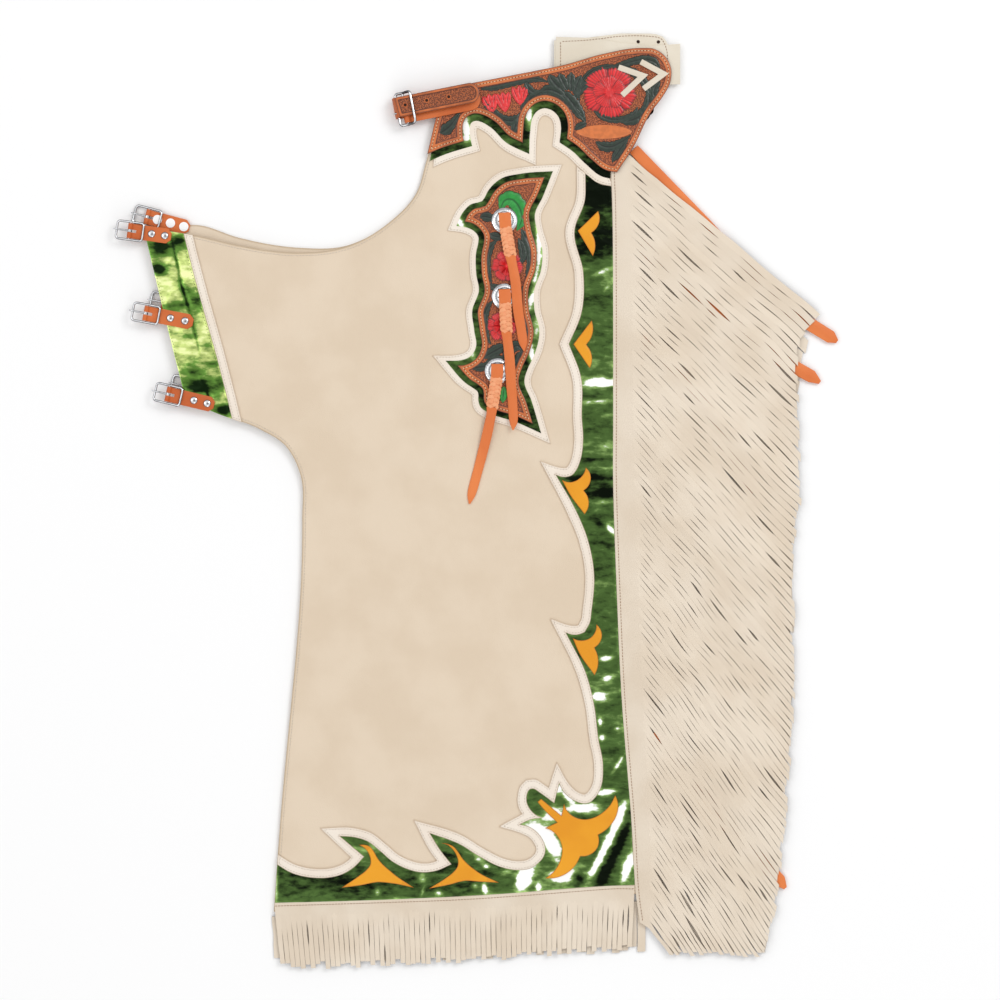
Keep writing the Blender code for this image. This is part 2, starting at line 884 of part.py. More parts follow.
def make_legs():
    """Both chap panels; the under one is cut round its yoke."""
    top = plan([leg_outline()], pitch=PANEL_PITCH)
    slab("leg_upper", "cream_leather", top, leg_height, PANEL)
    below = offset(turned_left(yoke_outline()), UNDER_YOKE_MARGIN, closed=True)
    clear_of_belt = [Vector(spot) for spot in UNDER_YOKE_REACH]
    under_yoke = plan([below, clear_of_belt])
    slab("under_yoke", "tooled_leather", under_yoke, level_at(0), PANEL)
    bottom = plan([leg_outline(under=True)], [grown(below, GAP)])
    slab("leg_under", "cream_leather", bottom, level_at(0), PANEL)


def make_yoke():
    strip = grown(side_strip_outline(), GAP)
    trim = plan([under_yoke_band(YOKE_FOIL_BAND + YOKE_TRIM_BAND)], [strip])
    slab("yoke_trim", "pale_leather", trim, over_leg(ON_PANEL), UNDERLAY)
    foil = plan([under_yoke_band(YOKE_FOIL_BAND)], [strip])
    slab("yoke_foil", "green_foil", foil, over_leg(ON_UNDERLAY), UNDERLAY_FOIL)
    slab("yoke", "tooled_leather", plan([yoke_outline()]), over_leg(ON_UNDERLAY_FOIL), YOKE)


def make_edge_bands():
    """The foil down the back edge and along the hem, its pale trim, and the gold leaves on it."""
    wave = smooth(EDGE_WAVE)
    leg = leg_outline()
    yoke_trim = grown(under_yoke_band(YOKE_FOIL_BAND + YOKE_TRIM_BAND), GAP)
    inner = offset(wave, -EDGE_BAND)
    trim = plan([wave + inner[::-1], leg], [yoke_trim])
    slab("edge_trim", "pale_leather", trim, over_leg(ON_PANEL), EDGE_TRIM)
    hem = offset(smooth(HEM_SEAM), GAP)[:-1]
    side = offset(smooth(SIDE_SEAM)[:-1], -GAP)[::-1]
    foil = plan([offset(wave, GAP) + hem + side, leg], [yoke_trim])
    slab("edge_foil", "green_foil", foil, over_leg(ON_PANEL), EDGE_FOIL)
    for number, rows in enumerate(GOLD_LEAVES, 1):
        leaf = plan([smooth(rows, closed=True)])
        slab(f"gold_leaf_{number}", "gold_leather", leaf, over_leg(ON_EDGE_FOIL), GOLD)


def make_cuff():
    wave = smooth(CUFF_WAVE)
    leg = leg_outline()
    outer = offset(wave, CUFF_BAND)
    trim = plan([wave + outer[::-1], leg])
    slab("cuff_trim", "pale_leather", trim, over_leg(ON_PANEL), EDGE_TRIM)
    beyond = [Vector((-420, 60)), Vector((-420, 340))]
    foil = plan([offset(wave, -GAP) + beyond, leg])
    slab("cuff_foil", "green_foil", foil, over_leg(ON_PANEL), EDGE_FOIL)


def make_badge():
    """The thigh patch on its foil and pale underlay, with conchos and strings."""
    outline = smooth(BADGE_OUTLINE, closed=True)
    yoke_trim = grown(under_yoke_band(YOKE_FOIL_BAND + YOKE_TRIM_BAND), GAP)
    wide = grown(outline, BADGE_FOIL_BAND + BADGE_TRIM_BAND)
    slab("badge_trim", "pale_leather", plan([wide], [yoke_trim]), over_leg(ON_PANEL), UNDERLAY)
    foil = plan([grown(outline, BADGE_FOIL_BAND)])
    slab("badge_foil", "green_foil", foil, over_leg(ON_UNDERLAY), UNDERLAY_FOIL)
    slab("badge", "tooled_leather", plan([outline]), over_leg(ON_UNDERLAY_FOIL), BADGE)
    for number, (x, y) in enumerate(CONCHOS, 1):
        make_concho(f"concho_{number}", x, y, leg_height(x, y) + ON_BADGE)
    for number, rows in enumerate(STRINGS, 1):
        ribbon(f"string_{number}", "tan_leather", rows, leg_height)


def make_concho(name, x, y, z):
    """A shallow dome on a thin rim, turned about its middle."""
    profile = [(0, CONCHO_RIM + CONCHO_RISE)]
    profile += [
        (share * CONCHO_RADIUS, CONCHO_RIM + CONCHO_RISE * (1 - share**2)) for share in (0.45, 0.8, 1.0)
    ]
    profile += [(CONCHO_RADIUS, 0), (0, 0)]
    mesh = bmesh.new()
    corners = [mesh.verts.new((r, 0, height)) for r, height in profile]
    edges = [mesh.edges.new(pair) for pair in zip(corners, corners[1:])]
    turn = dict(cent=(0, 0, 0), axis=(0, 0, 1), angle=math.tau, steps=18)
    bmesh.ops.spin(mesh, geom=corners + edges, **turn)
    bmesh.ops.remove_doubles(mesh, verts=mesh.verts, dist=0.01)
    concho = solid_from(name, mesh, "chrome")
    concho.location = Vector((x, y, z)) * MM
    return concho


def strands_along(rows, share):
    """Root and tip at a share of the way down the strip."""
    roots = [Vector(row[:2]) for row in rows]
    tips = [Vector(row[2:]) for row in rows]
    lengths = [(b - a).length for a, b in zip(roots, roots[1:])]
    left = share * sum(lengths)
    for i, length in enumerate(lengths):
        if left <= length or i == len(lengths) - 1:
            part = left / length
            return roots[i].lerp(roots[i + 1], part), tips[i].lerp(tips[i + 1], part)
        left -= length


def comb(name, seam, rows, count, low, tip_low, ripple):
    """A strip sewn along its seam and cut into strands, which end apart at slightly different heights."""
    outline, lows = list(seam[::-1]), [low] * len(seam)
    for number in range(count):
        middle = (number + 0.5) / count
        half = (0.5 - CUT_SHARE / 2) / count
        first, _ = strands_along(rows, middle - half)
        last, _ = strands_along(rows, middle + half)
        root, tip = strands_along(rows, middle)
        tip = tip + (tip - root).normalized() * 3 * math.sin(number * 2.4)
        way = (tip - root).normalized()
        across = Vector((-way.y, way.x))
        width = abs((last - first).dot(across)) * TIP_SHARE
        side = across * width / 2 * (1 if (first - last).dot(across) > 0 else -1)
        outline += [first, tip + side, tip - side, last]
        tip_z = tip_low + ripple * (0.5 + 0.5 * math.sin(number * 1.7))
        lows += [low, tip_z, tip_z, low]
    if area_of(outline) < 0:
        outline, lows = outline[::-1], lows[::-1]
    shape = plan([outline])
    return slab(name, "fringe_leather", shape, None, FRINGE, lows)


def make_fringes():
    side_seam = smooth(SIDE_SEAM) + [Vector(SIDE_STRANDS[-1][:2])]
    side_seam[-1] += Vector((-0.5, -0.5))
    side_strands = SIDE_STRANDS, SIDE_STRAND_COUNT
    comb("side_fringe", side_seam, *side_strands, FRINGE_REST, FRINGE_REST, SIDE_RIPPLE)
    hem_seam = smooth(HEM_SEAM)
    hem_strands = HEM_STRANDS, HEM_STRAND_COUNT
    comb("hem_fringe", hem_seam, *hem_strands, FRINGE_REST, HEM_TIP_REST, HEM_RIPPLE)
    back_edge = [Vector(row[:2]) for row in LEG_OUTLINE[22:30]][::-1]
    back_edge = [spot + Vector((2 * GAP, -4 if spot.y > 370 else 0)) for spot in back_edge]
    back_edge.append(Vector((195.5, -462)))
    strands = UNDER_SIDE_STRANDS, UNDER_SIDE_STRAND_COUNT
    comb("under_side_fringe", back_edge, *strands, 0.0, UNDER_TIP_REST, UNDER_RIPPLE)
    hem_edge = [spot + Vector((0, -2 * GAP)) for spot in smooth(LEG_OUTLINE[19:23])]
    hem_edge[-1].x -= 1.5
    strands = UNDER_HEM_STRANDS, UNDER_HEM_STRAND_COUNT
    comb("under_hem_fringe", hem_edge, *strands, 0.0, UNDER_TIP_REST, UNDER_RIPPLE)


def make_leg_billets():
    for number, rows in enumerate(LEG_BILLETS, 1):
        ribbon(f"leg_billet_{number}", "tan_leather", rows)


def make_laces():
    low = LEG_REST + ON_YOKE
    for number, spots in enumerate(LACES, 1):
        middle = [Vector(spot) for spot in spots]
        outline = offset(middle, LACE_WIDTH / 2) + offset(middle, -LACE_WIDTH / 2)[::-1]
        slab(f"lace_{number}", "pale_leather", plan([outline]), level_at(low), LACE)


def make_rear_belt():
    """Two leaves of one belt, joined by the fold at its left end."""
    back_low = PANEL + GAP
    front_low = back_low + BELT + GAP
    front = plan([smooth(BELT_FRONT, closed=True)])
    belt = slab("rear_belt", "cream_leather", front, level_at(front_low), BELT)
    back = plan([smooth(BELT_BACK, closed=True)])
    leaf = slab("belt_back", "cream_leather", back, level_at(back_low), BELT)
    left, right = BELT_FRONT[0][0] - 1, BELT_FRONT[0][0] + BELT_FOLD
    low, high = BELT_BACK[0][1] + 1.5, BELT_BACK[-1][1] - 1.5
    sides = [Vector((left, low)), Vector((right, low)), Vector((right, high)), Vector((left, high))]
    inset = 0.2
    thickness = front_low - back_low + BELT - 2 * inset
    fold = slab("belt_fold", "cream_leather", plan([sides]), level_at(back_low + inset), thickness)
    combined(combined(belt, fold, "UNION"), leaf, "UNION")


def tube(mesh, path, radius, sides, closed):
    """A wire along the path, with flat ends where it is open."""
    up = Vector((0, 0, 1))
    count = len(path)
    rings = []
    for i, here in enumerate(path):
        before = path[i - 1] if closed or i > 0 else here
        after = path[(i + 1) % count] if closed or i < count - 1 else here
        way = (after - before).normalized()
        side = up.cross(way).normalized()
        over = way.cross(side)
        width = radius[i] if isinstance(radius, (list, tuple)) else radius
        ring = []
        for k in range(sides):
            angle = math.tau * (k + 0.5) / sides
            spot = here + (side * math.cos(angle) + over * math.sin(angle)) * width
            ring.append(mesh.verts.new(spot))
        rings.append(ring)
    pairs = list(zip(rings, rings[1:] + rings[:1]))
    for here, there in pairs if closed else pairs[:-1]:
        for k in range(sides):
            mesh.faces.new((here[k], here[(k + 1) % sides], there[(k + 1) % sides], there[k]))
    if not closed:
        mesh.faces.new(rings[0])
        mesh.faces.new(rings[-1][::-1])


def make_frame(name, length, width, wire, bar_radius, rise=0.0, shift=0.0):
    """A buckle frame with a middle bar; its far half may rise."""
    half_long, half_wide, corner = length / 2 - wire, width / 2 - wire, 3.0
    path = []
    for sign_u, sign_v in ((1, 1), (-1, 1), (-1, -1), (1, -1)):
        start = {(1, 1): 0, (-1, 1): 90, (-1, -1): 180, (1, -1): 270}[(sign_u, sign_v)]
        middle = Vector((sign_u * (half_long - corner), sign_v * (half_wide - corner), 0))
        for step in (0, 45, 90):
            angle = math.radians(start + step)
            path.append(middle + Vector((math.cos(angle), math.sin(angle), 0)) * corner)
        if sign_v == sign_u:
            path.append(Vector((0, sign_v * half_wide, 0)))
    for spot in path:
        spot.z = rise * max(0.0, spot.x) / half_long
        spot.y += shift
    mesh = bmesh.new()
    tube(mesh, path, wire, 6, closed=True)
    frame = solid_from(name, mesh, "chrome")
    mesh = bmesh.new()
    ends = [Vector((0, shift - half_wide, 0)), Vector((0, shift + half_wide, 0))]
    tube(mesh, ends, bar_radius, 6, closed=False)
    return combined(frame, solid_from("bar", mesh, "chrome"), "UNION")


def make_prong(name, bar_radius, wire, length, over_rail):
    """A ring round the bar and a tapered tongue that reaches left over the frame's rail."""
    inner, outer = bar_radius + 0.35, bar_radius + 1.45
    ring = [(inner, 8), (outer, 10)]
    outlines = []
    for radius, steps in ring:
        angles = [math.tau * k / steps for k in range(steps)]
        outlines.append([Vector((math.cos(a), math.sin(a))) * radius for a in angles])
    half = PRONG_WIDTH / 2
    base = solid_from(name, prism(outlines[1], [outlines[0]], (-half, half)), "chrome")
    reach = outer - wire * 0.3
    start = Vector((-0.62, 0, 0.78)) * reach
    path = [start, Vector((-length * 0.7, 0, over_rail)), Vector((-length, 0, over_rail - 0.3))]
    mesh = bmesh.new()
    tube(mesh, path, [wire, wire, wire * 0.6], 6, closed=False)
    return combined(base, solid_from("tongue", mesh, "chrome"), "UNION")


def prism(outline, holes, stations, tip_from=math.inf, tip_drop=None):
    """A side profile (along, up) carried across the stations; past tip_from its end is drawn back."""
    mesh = bmesh.new()
    loops, spots = [], []
    for loop in (turned_left(outline), *[turned_left(hole) for hole in holes]):
        loops.append(list(range(len(spots), len(spots) + len(loop))))
        spots += loop
    _, _, faces, sources, _, owners = delaunay_2d_cdt(spots, [], loops, 0, 1e-4)
    rows = []
    for across in stations:
        drop = tip_drop(across) if tip_drop else 0
        rows.append([mesh.verts.new((p.x - drop * (p.x > tip_from), across, p.y)) for p in spots])
    for face, own in zip(faces, owners):
        if set(own) == {0}:
            corners = [sources[number][0] for number in face]
            mesh.faces.new([rows[0][number] for number in corners])
            mesh.faces.new([rows[-1][number] for number in corners[::-1]])
    for here, there in zip(rows, rows[1:]):
        for loop in loops:
            for a, b in zip(loop, loop[1:] + loop[:1]):
                mesh.faces.new((here[a], here[b], there[b], there[a]))
    return mesh


def arc(radius, first, last, steps):
    """Points of an arc round the bar, in a strap's side profile."""
    angles = [math.radians(first + (last - first) * k / steps) for k in range(steps + 1)]
    return [Vector((math.cos(a), math.sin(a))) * radius for a in angles]


def loop_strap(name, length, width, leather, top, inner, slot, tip):
    """A strap that is looped round a buckle's bar, with a slot there for the prong."""
    outer = inner + leather
    first = math.degrees(math.asin(top / outer))
    last = 360 + math.degrees(math.asin((top - leather) / outer))
    outline = arc(outer, first, last, 9) + [Vector((length, top - leather)), Vector((length, top))]
    half = width / 2
    stations = [share * half for share in tip]
    drops = {share * half: drop for share, drop in tip.items()}
    mesh = prism(outline, [arc(inner, 0, 315, 7)], stations, length / 2, drops.get)
    strap = solid_from(name, mesh, "tan_leather")
    box = bmesh.new()
    back = outer + 0.8
    bmesh.ops.create_cube(box, size=1)
    bmesh.ops.scale(box, vec=(back + SLOT_REACH, slot, 4 * back), verts=box.verts)
    bmesh.ops.translate(box, vec=((SLOT_REACH - back) / 2, 0, 0), verts=box.verts)
    return combined(strap, solid_from("slot", box, "tan_leather"), "DIFFERENCE")


def place(thing, x, y, z, turn, tilt=0.0):
    """Put a piece of a buckle at its bar, turned to its strap's direction and tilted about the bar."""
    spot = Matrix.Translation(Vector((x, y, z)) * MM)
    turned = Matrix.Rotation(math.radians(turn), 4, "Z")
    tilted = Matrix.Rotation(math.radians(tilt), 4, "Y")
    thing.matrix_world = spot @ turned @ tilted


def make_cuff_buckles():
    point = {-1.0: STRAP_POINT, -0.45: 1.2, 0.45: 1.2, 1.0: STRAP_POINT}
    numbers = {"cuff": 0, "under": 0}
    for leg, x, y, turn, length in BUCKLES:
        numbers[leg] += 1
        number = numbers[leg]
        height = BAR_HEIGHT[leg]
        frame = make_frame(
            f"{leg}_buckle_{number}", FRAME_LENGTH, FRAME_WIDTH, FRAME_WIRE, BAR_RADIUS
        )
        place(frame, x, y, height, turn, BUCKLE_TILT)
        over_rail = FRAME_WIRE + PRONG_WIRE + GAP
        prong = make_prong(
            f"{leg}_prong_{number}", BAR_RADIUS, PRONG_WIRE, PRONG_LENGTH, over_rail
        )
        place(prong, x, y, height, turn, BUCKLE_TILT)
        strap = loop_strap(
            f"{leg}_strap_{number}", length, STRAP_WIDTH, STRAP, STRAP_TOP, LOOP_INNER, SLOT, point
        )
        place(strap, x, y, height, turn)


def billet_profile():
    """Side profile of the front billet: along the floor, round its left bend and back over the buckle."""
    middle = (BILLET_HEIGHT + FRONT_BILLET) / 2
    outer, inner = [], []
    for k in range(9):
        angle = math.pi * (0.5 + k / 8)
        along, up = math.cos(angle), math.sin(angle)
        outer.append(Vector((BILLET_BEND + BILLET_BEND_REACH * along, middle + middle * up)))
        thin = FRONT_BILLET * 0.8
        inner_reach, inner_rise = BILLET_BEND_REACH - thin, middle - FRONT_BILLET
        if up < 0:
            inner_rise = middle - PANEL
        inner.append(Vector((BILLET_BEND + inner_reach * along, middle + inner_rise * up)))
    top = [Vector((BILLET_LENGTH, BILLET_HEIGHT)), Vector((BILLET_LENGTH, BILLET_HEIGHT + FRONT_BILLET))]
    root = [Vector((BILLET_ROOT, 0)), Vector((BILLET_ROOT, PANEL))]
    return top + outer + root + inner[::-1]


def make_front_strap():
    """The fastened strap at the waist: chape, buckle, prong, and the billet through it."""
    frame = make_frame(
        "front_buckle",
        FRONT_FRAME_LENGTH,
        FRONT_FRAME_WIDTH,
        FRONT_WIRE,
        FRONT_BAR_RADIUS,
        FRONT_RISE,
        FRONT_FRAME_SHIFT,
    )
    place(frame, FRONT_X, FRONT_Y, FRONT_BAR_HEIGHT, FRONT_TURN)
    over_rail = FRONT_WIRE + FRONT_PRONG_WIRE + GAP
    prong = make_prong(
        "front_prong", FRONT_BAR_RADIUS, FRONT_PRONG_WIRE, FRONT_PRONG_LENGTH, over_rail
    )
    place(prong, FRONT_X, FRONT_Y, FRONT_BAR_HEIGHT, FRONT_TURN)
    round_end = {}
    for share in (-1.0, -0.85, -0.5, 0.0, 0.5, 0.85, 1.0):
        round_end[share] = 0.42 * CHAPE_WIDTH * (1 - math.sqrt(1 - share**2))
    chape = loop_strap(
        "front_chape",
        CHAPE_LENGTH,
        CHAPE_WIDTH,
        CHAPE,
        CHAPE_TOP,
        CHAPE_LOOP_INNER,
        FRONT_SLOT,
        round_end,
    )
    place(chape, FRONT_X, FRONT_Y, FRONT_BAR_HEIGHT, FRONT_TURN)
    half = BILLET_WIDTH / 2
    stations = [BILLET_SHIFT + share * half for share in round_end]
    drops = dict(zip(stations, round_end.values()))
    mesh = prism(billet_profile(), [], stations, BILLET_LENGTH - 1, drops.get)
    billet = solid_from("front_billet", mesh, "tooled_leather")
    hole = bmesh.new()
    level = FRONT_BAR_HEIGHT + over_rail - 0.2
    ends = [Vector((-18, 0, level)), Vector((-8, 0, level))]
    tube(hole, ends, BILLET_HOLE, 8, closed=False)
    billet = combined(billet, solid_from("prong_hole", hole, "tooled_leather"), "DIFFERENCE")
    place(billet, FRONT_X, FRONT_Y, 0, FRONT_TURN)


def centre_on_origin():
    """Move everything so that the middle of the model's box is over the origin."""
    bpy.context.view_layer.update()
    corners = []
    for thing in bpy.data.objects:
        corners += [thing.matrix_world @ vertex.co for vertex in thing.data.vertices]
    low_x, high_x = min(c.x for c in corners), max(c.x for c in corners)
    low_y, high_y = min(c.y for c in corners), max(c.y for c in corners)
    shift = Vector((-(low_x + high_x) / 2, -(low_y + high_y) / 2, 0))
    for thing in bpy.data.objects:
        thing.matrix_world = Matrix.Translation(shift) @ thing.matrix_world
    bpy.context.view_layer.update()


def build_chaps():
    clear_scene()
    make_legs()
    make_edge_bands()
    make_cuff()
    make_yoke()
    make_badge()
    make_fringes()
    make_leg_billets()
    make_laces()
    make_rear_belt()
    make_cuff_buckles()
    make_front_strap()
    centre_on_origin()


build_chaps()
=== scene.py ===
"""The looks of a folded pair of western riding chaps: leather, foil, tooling, fringe, silver and thread.

Tables and working meshes are in millimetres of the cutting table, as the solids were drawn on it: x across
the garment, y up the leg, z off the floor. A finished piece's mesh is in metres, in the frame's place.
"""
import json
import math
import random

import bmesh
import bpy
import numpy as np
from mathutils.bvhtree import BVHTree
from mathutils import Matrix, Vector, noise
from mathutils.geometry import delaunay_2d_cdt
from mathutils.kdtree import KDTree


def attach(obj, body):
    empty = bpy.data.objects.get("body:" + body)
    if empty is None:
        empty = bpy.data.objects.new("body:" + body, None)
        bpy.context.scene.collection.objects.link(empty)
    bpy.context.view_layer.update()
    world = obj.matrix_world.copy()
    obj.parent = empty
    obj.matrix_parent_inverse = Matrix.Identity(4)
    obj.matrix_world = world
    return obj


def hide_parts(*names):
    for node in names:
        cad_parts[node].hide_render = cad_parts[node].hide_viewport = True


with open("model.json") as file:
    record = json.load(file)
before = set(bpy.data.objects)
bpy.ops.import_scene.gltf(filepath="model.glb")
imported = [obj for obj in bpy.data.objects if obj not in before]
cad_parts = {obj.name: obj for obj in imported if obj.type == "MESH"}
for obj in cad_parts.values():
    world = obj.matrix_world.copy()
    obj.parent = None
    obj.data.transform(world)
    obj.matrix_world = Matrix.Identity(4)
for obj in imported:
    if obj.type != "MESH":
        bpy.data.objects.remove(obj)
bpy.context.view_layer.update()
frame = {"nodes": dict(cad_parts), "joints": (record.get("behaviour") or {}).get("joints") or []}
NODES = frame["nodes"]
JOINTS = {joint["name"]: joint for joint in frame["joints"]}
BODY = "chaps"
MM = 0.001

# A rim value too far from any cut edge for worn-edge colour
FAR_INSIDE = 4.0

# Where the first cuff buckle's bar lies on the cutting table; it ties the table to the frame
FIRST_BAR = (-379.3, 297.7)
BAR = JOINTS["cuff_prong_1_swing"]["pos_m"]
TABLE_SHIFT = Vector((BAR[0] - FIRST_BAR[0] * MM, BAR[1] - FIRST_BAR[1] * MM, 0))
TO_FRAME = Matrix.Translation(TABLE_SHIFT) @ Matrix.Diagonal((MM, MM, MM, 1))
TO_TABLE = TO_FRAME.inverted()

# Heights over the upper leg's underside, and thicknesses
PANEL_TOP = 1.6
TRIM_TOP = 3.5
FOIL_TOP = 2.6
GOLD_TOP = 3.9
UNDERLAY_TOP = 2.9
UNDERLAY_FOIL_TOP = 3.8
BADGE_TOP = 6.3
YOKE_TOP = 6.9
CONCHO_LOW = 6.6
LEG_REST = 1.9
WING_LIFT = 4.6

# Widths of the smooth borders round tooled grounds, and how far those grounds are beaten down
TOOLED_BORDER = 6.6
BILLET_BORDER = 3.4
GROUND_SINK = 0.55

# The soft swells of the upper leg; columns: x, y, how far it spreads, how high it stands
SWELLS = ((-130, 175, 62, 1.3), (-85, 15, 72, 1.6), (-125, -140, 75, 1.3), (-45, -230, 60, 1.2))

# Creases in the panel; columns: x and y of both ends, half width, height (below zero for a trough)
CREASES = (
    (-98, 50, -34, 34, 3.2, 0.5),
    (-92, 43, -40, 28, 3.0, -0.35),
    (14, -2, 66, -22, 3.0, 0.5),
    (20, -10, 58, -28, 2.6, -0.35),
    (-26, -90, 8, -88, 3.0, 0.4),
    (42, -180, 84, -194, 3.0, 0.45),
    (-44, -166, -41, -228, 3.2, 0.4),
    (-203, 78, -188, 52, 4.0, 0.6),
    (-196, 60, -170, 20, 4.5, 0.4),
    (-120, 268, -96, 236, 4.5, 0.45),
    (-250, 262, -205, 246, 5.0, 0.4),
    (-70, 330, -52, 300, 4.0, 0.4),
    (-180, -60, -130, -76, 4.0, 0.35),
    (-196, -220, -150, -232, 4.0, 0.35),
    (-100, -300, -30, -318, 4.5, 0.35),
    (60, 50, 88, 20, 3.5, 0.35),
)

# Sharp creases across the cuff's foil; columns as above
CUFF_CREASES = (
    (-333, 281, -324, 249, 1.6, 0.9),
    (-324, 249, -318, 228, 1.8, 0.8),
    (-318, 228, -310, 191, 1.6, 0.9),
    (-310, 191, -303, 165, 1.8, 0.7),
    (-297, 133, -289, 110, 1.6, 0.9),
    (-350, 262, -322, 236, 2.0, 0.7),
    (-340, 200, -306, 205, 1.8, 0.8),
    (-334, 168, -300, 150, 2.0, 0.8),
    (-318, 128, -290, 126, 1.6, 0.7),
)


def smooth_step(share):
    share = min(1.0, max(0.0, share))
    return share * share * (3 - 2 * share)


def leg_height(x, y):
    """The upper leg's underside, as in the solids."""
    lift = WING_LIFT * smooth_step((-120 - x) / 142) * smooth_step((y + 40) / 120)
    for swell_x, swell_y, spread, rise in SWELLS:
        lift += rise * math.exp(-((x - swell_x) ** 2 + (y - swell_y) ** 2) / spread**2)
    return LEG_REST + lift


def ridge(x, y, x0, y0, x1, y1, half, rise):
    """The height of one crease at a place: a soft ridge that fades towards both ends."""
    long_x, long_y = x1 - x0, y1 - y0
    share = ((x - x0) * long_x + (y - y0) * long_y) / (long_x**2 + long_y**2)
    if not -0.3 < share < 1.3:
        return 0.0
    wander = 2.0 * noise.noise(Vector((x * 0.04, y * 0.04, rise)))
    off = ((x - x0) * long_y - (y - y0) * long_x) / math.hypot(long_x, long_y) + wander
    fade = smooth_step((share + 0.3) / 0.5) * smooth_step((1.3 - share) / 0.5)
    return rise * fade * math.exp(-((off / half) ** 2))


def lay(x, y):
    """The upper leg's underside with the leather's soft unevenness and creases."""
    quiet = smooth_step((140 - x) / 50) * smooth_step((y + 415) / 50)
    uneven = 0.55 * (0.5 + 0.5 * noise.noise(Vector((x * 0.016, y * 0.016, 3.0))))
    uneven += 0.2 * (0.5 + 0.5 * noise.noise(Vector((x * 0.05, y * 0.05, 8.0))))
    creased = sum(ridge(x, y, *row) for row in CREASES)
    return leg_height(x, y) + quiet * max(-0.3, uneven + creased)


# Modelling helpers


def only(piece):
    """Make the piece the one that is selected and active."""
    bpy.ops.object.select_all(action="DESELECT")
    piece.select_set(True)
    bpy.context.view_layer.objects.active = piece


def piece_from(name, places, faces, **point_values):
    """A new object on the cutting table, with named numbers kept on its points."""
    data = bpy.data.meshes.new(name)
    data.from_pydata([tuple(place) for place in places], [], [tuple(face) for face in faces])
    for label, values in point_values.items():
        data.attributes.new(label, "FLOAT", "POINT").data.foreach_set("value", list(values))
    piece = bpy.data.objects.new(name, data)
    bpy.context.scene.collection.objects.link(piece)
    return piece


def put_on(piece, kind, **settings):
    """Add a modifier with these settings and apply it."""
    only(piece)
    step = piece.modifiers.new(kind.lower(), kind)
    for label, value in settings.items():
        setattr(step, label, value)
    bpy.ops.object.modifier_apply(modifier=step.name)


def outward(piece):
    only(piece)
    bpy.ops.object.mode_set(mode="EDIT")
    bpy.ops.mesh.select_all(action="SELECT")
    bpy.ops.mesh.normals_make_consistent(inside=False)
    bpy.ops.object.mode_set(mode="OBJECT")


def hand_over(piece, material, slot, *nodes, body=BODY, angle=40):
    """Finish a piece: into the frame's metres, shaded, with its material and body, and its nodes hidden;
    slot is not used.
    """
    piece.data.transform(piece.matrix_world)
    piece.matrix_world = Matrix.Identity(4)
    piece.data.transform(TO_FRAME)
    only(piece)
    bpy.ops.object.shade_smooth_by_angle(angle=math.radians(angle))
    piece.data.materials.clear()
    piece.data.materials.append(material)
    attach(piece, body)
    if nodes:
        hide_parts(*nodes)
    return piece


# Outlines read from the solids


def outline_of(node, level=None):
    """The longest edge loop of a node's upper surface, anticlockwise; level picks one surface of several."""
    mesh = NODES[node].data
    spots, uses = {}, {}
    for face in mesh.polygons:
        if face.normal.z < 0.5:
            continue
        corners = []
        for number in face.vertices:
            spot = TO_TABLE @ mesh.vertices[number].co
            key = (round(spot.x, 2), round(spot.y, 2))
            spots[key] = spot
            corners.append(key)
        if level is not None and abs(spots[corners[0]].z - level) > 0.3:
            continue
        for a, b in zip(corners, corners[1:] + corners[:1]):
            uses[(a, b)] = uses.get((a, b), 0) + 1
    onward = {a: b for a, b in uses if (b, a) not in uses}
    best = []
    while onward:
        start, here = next(iter(onward.items()))
        loop = [start]
        del onward[start]
        while here != start and here in onward:
            loop.append(here)
            here = onward.pop(here)
        best = max(best, loop, key=len)
    return [Vector(key) for key in best]


# An outline has a true corner where its sides turn by more than this, and is round elsewhere
SHARP_TURN = math.radians(36)


def eased(loop, step):
    """The loop with its round stretches curved and all its sides cut into short steps."""
    count = len(loop)
    points = []

    def heading(i):
        back, on = loop[i] - loop[i - 1], loop[(i + 1) % count] - loop[i]
        if back.angle(on, 0) > SHARP_TURN:
            return None
        return (back.normalized() * on.length + on.normalized() * back.length).normalized()

    for i in range(count):
        start, end = loop[i], loop[(i + 1) % count]
        chord = end - start
        way = chord.normalized()
        leave, arrive = heading(i) or way, heading((i + 1) % count) or way
        steps = max(1, math.ceil(chord.length / step))
        for k in range(steps):
            t = k / steps
            spot = (1 + 2 * t) * (1 - t) ** 2 * start + t * t * (3 - 2 * t) * end
            spot += t * (1 - t) * chord.length * ((1 - t) * leave - t * arrive)
            points.append(spot)
    return points


def held_straight(loop, near=1.2, long=8.0):
    """The loop with a point close to each end of its long sides, so that easing leaves them straight."""
    spots = []
    for start, end in zip(loop, loop[1:] + loop[:1]):
        way = end - start
        spots.append(start)
        if way.length > long:
            spots += [start + way * (near / way.length), end - way * (near / way.length)]
    return spots


# Lines inside an edge: steps along it, how much nearer to it a line may come, and the widest gap in one
FINE_STEP = 0.5
LINE_SLACK = 0.12
LINE_GAP = 3.0


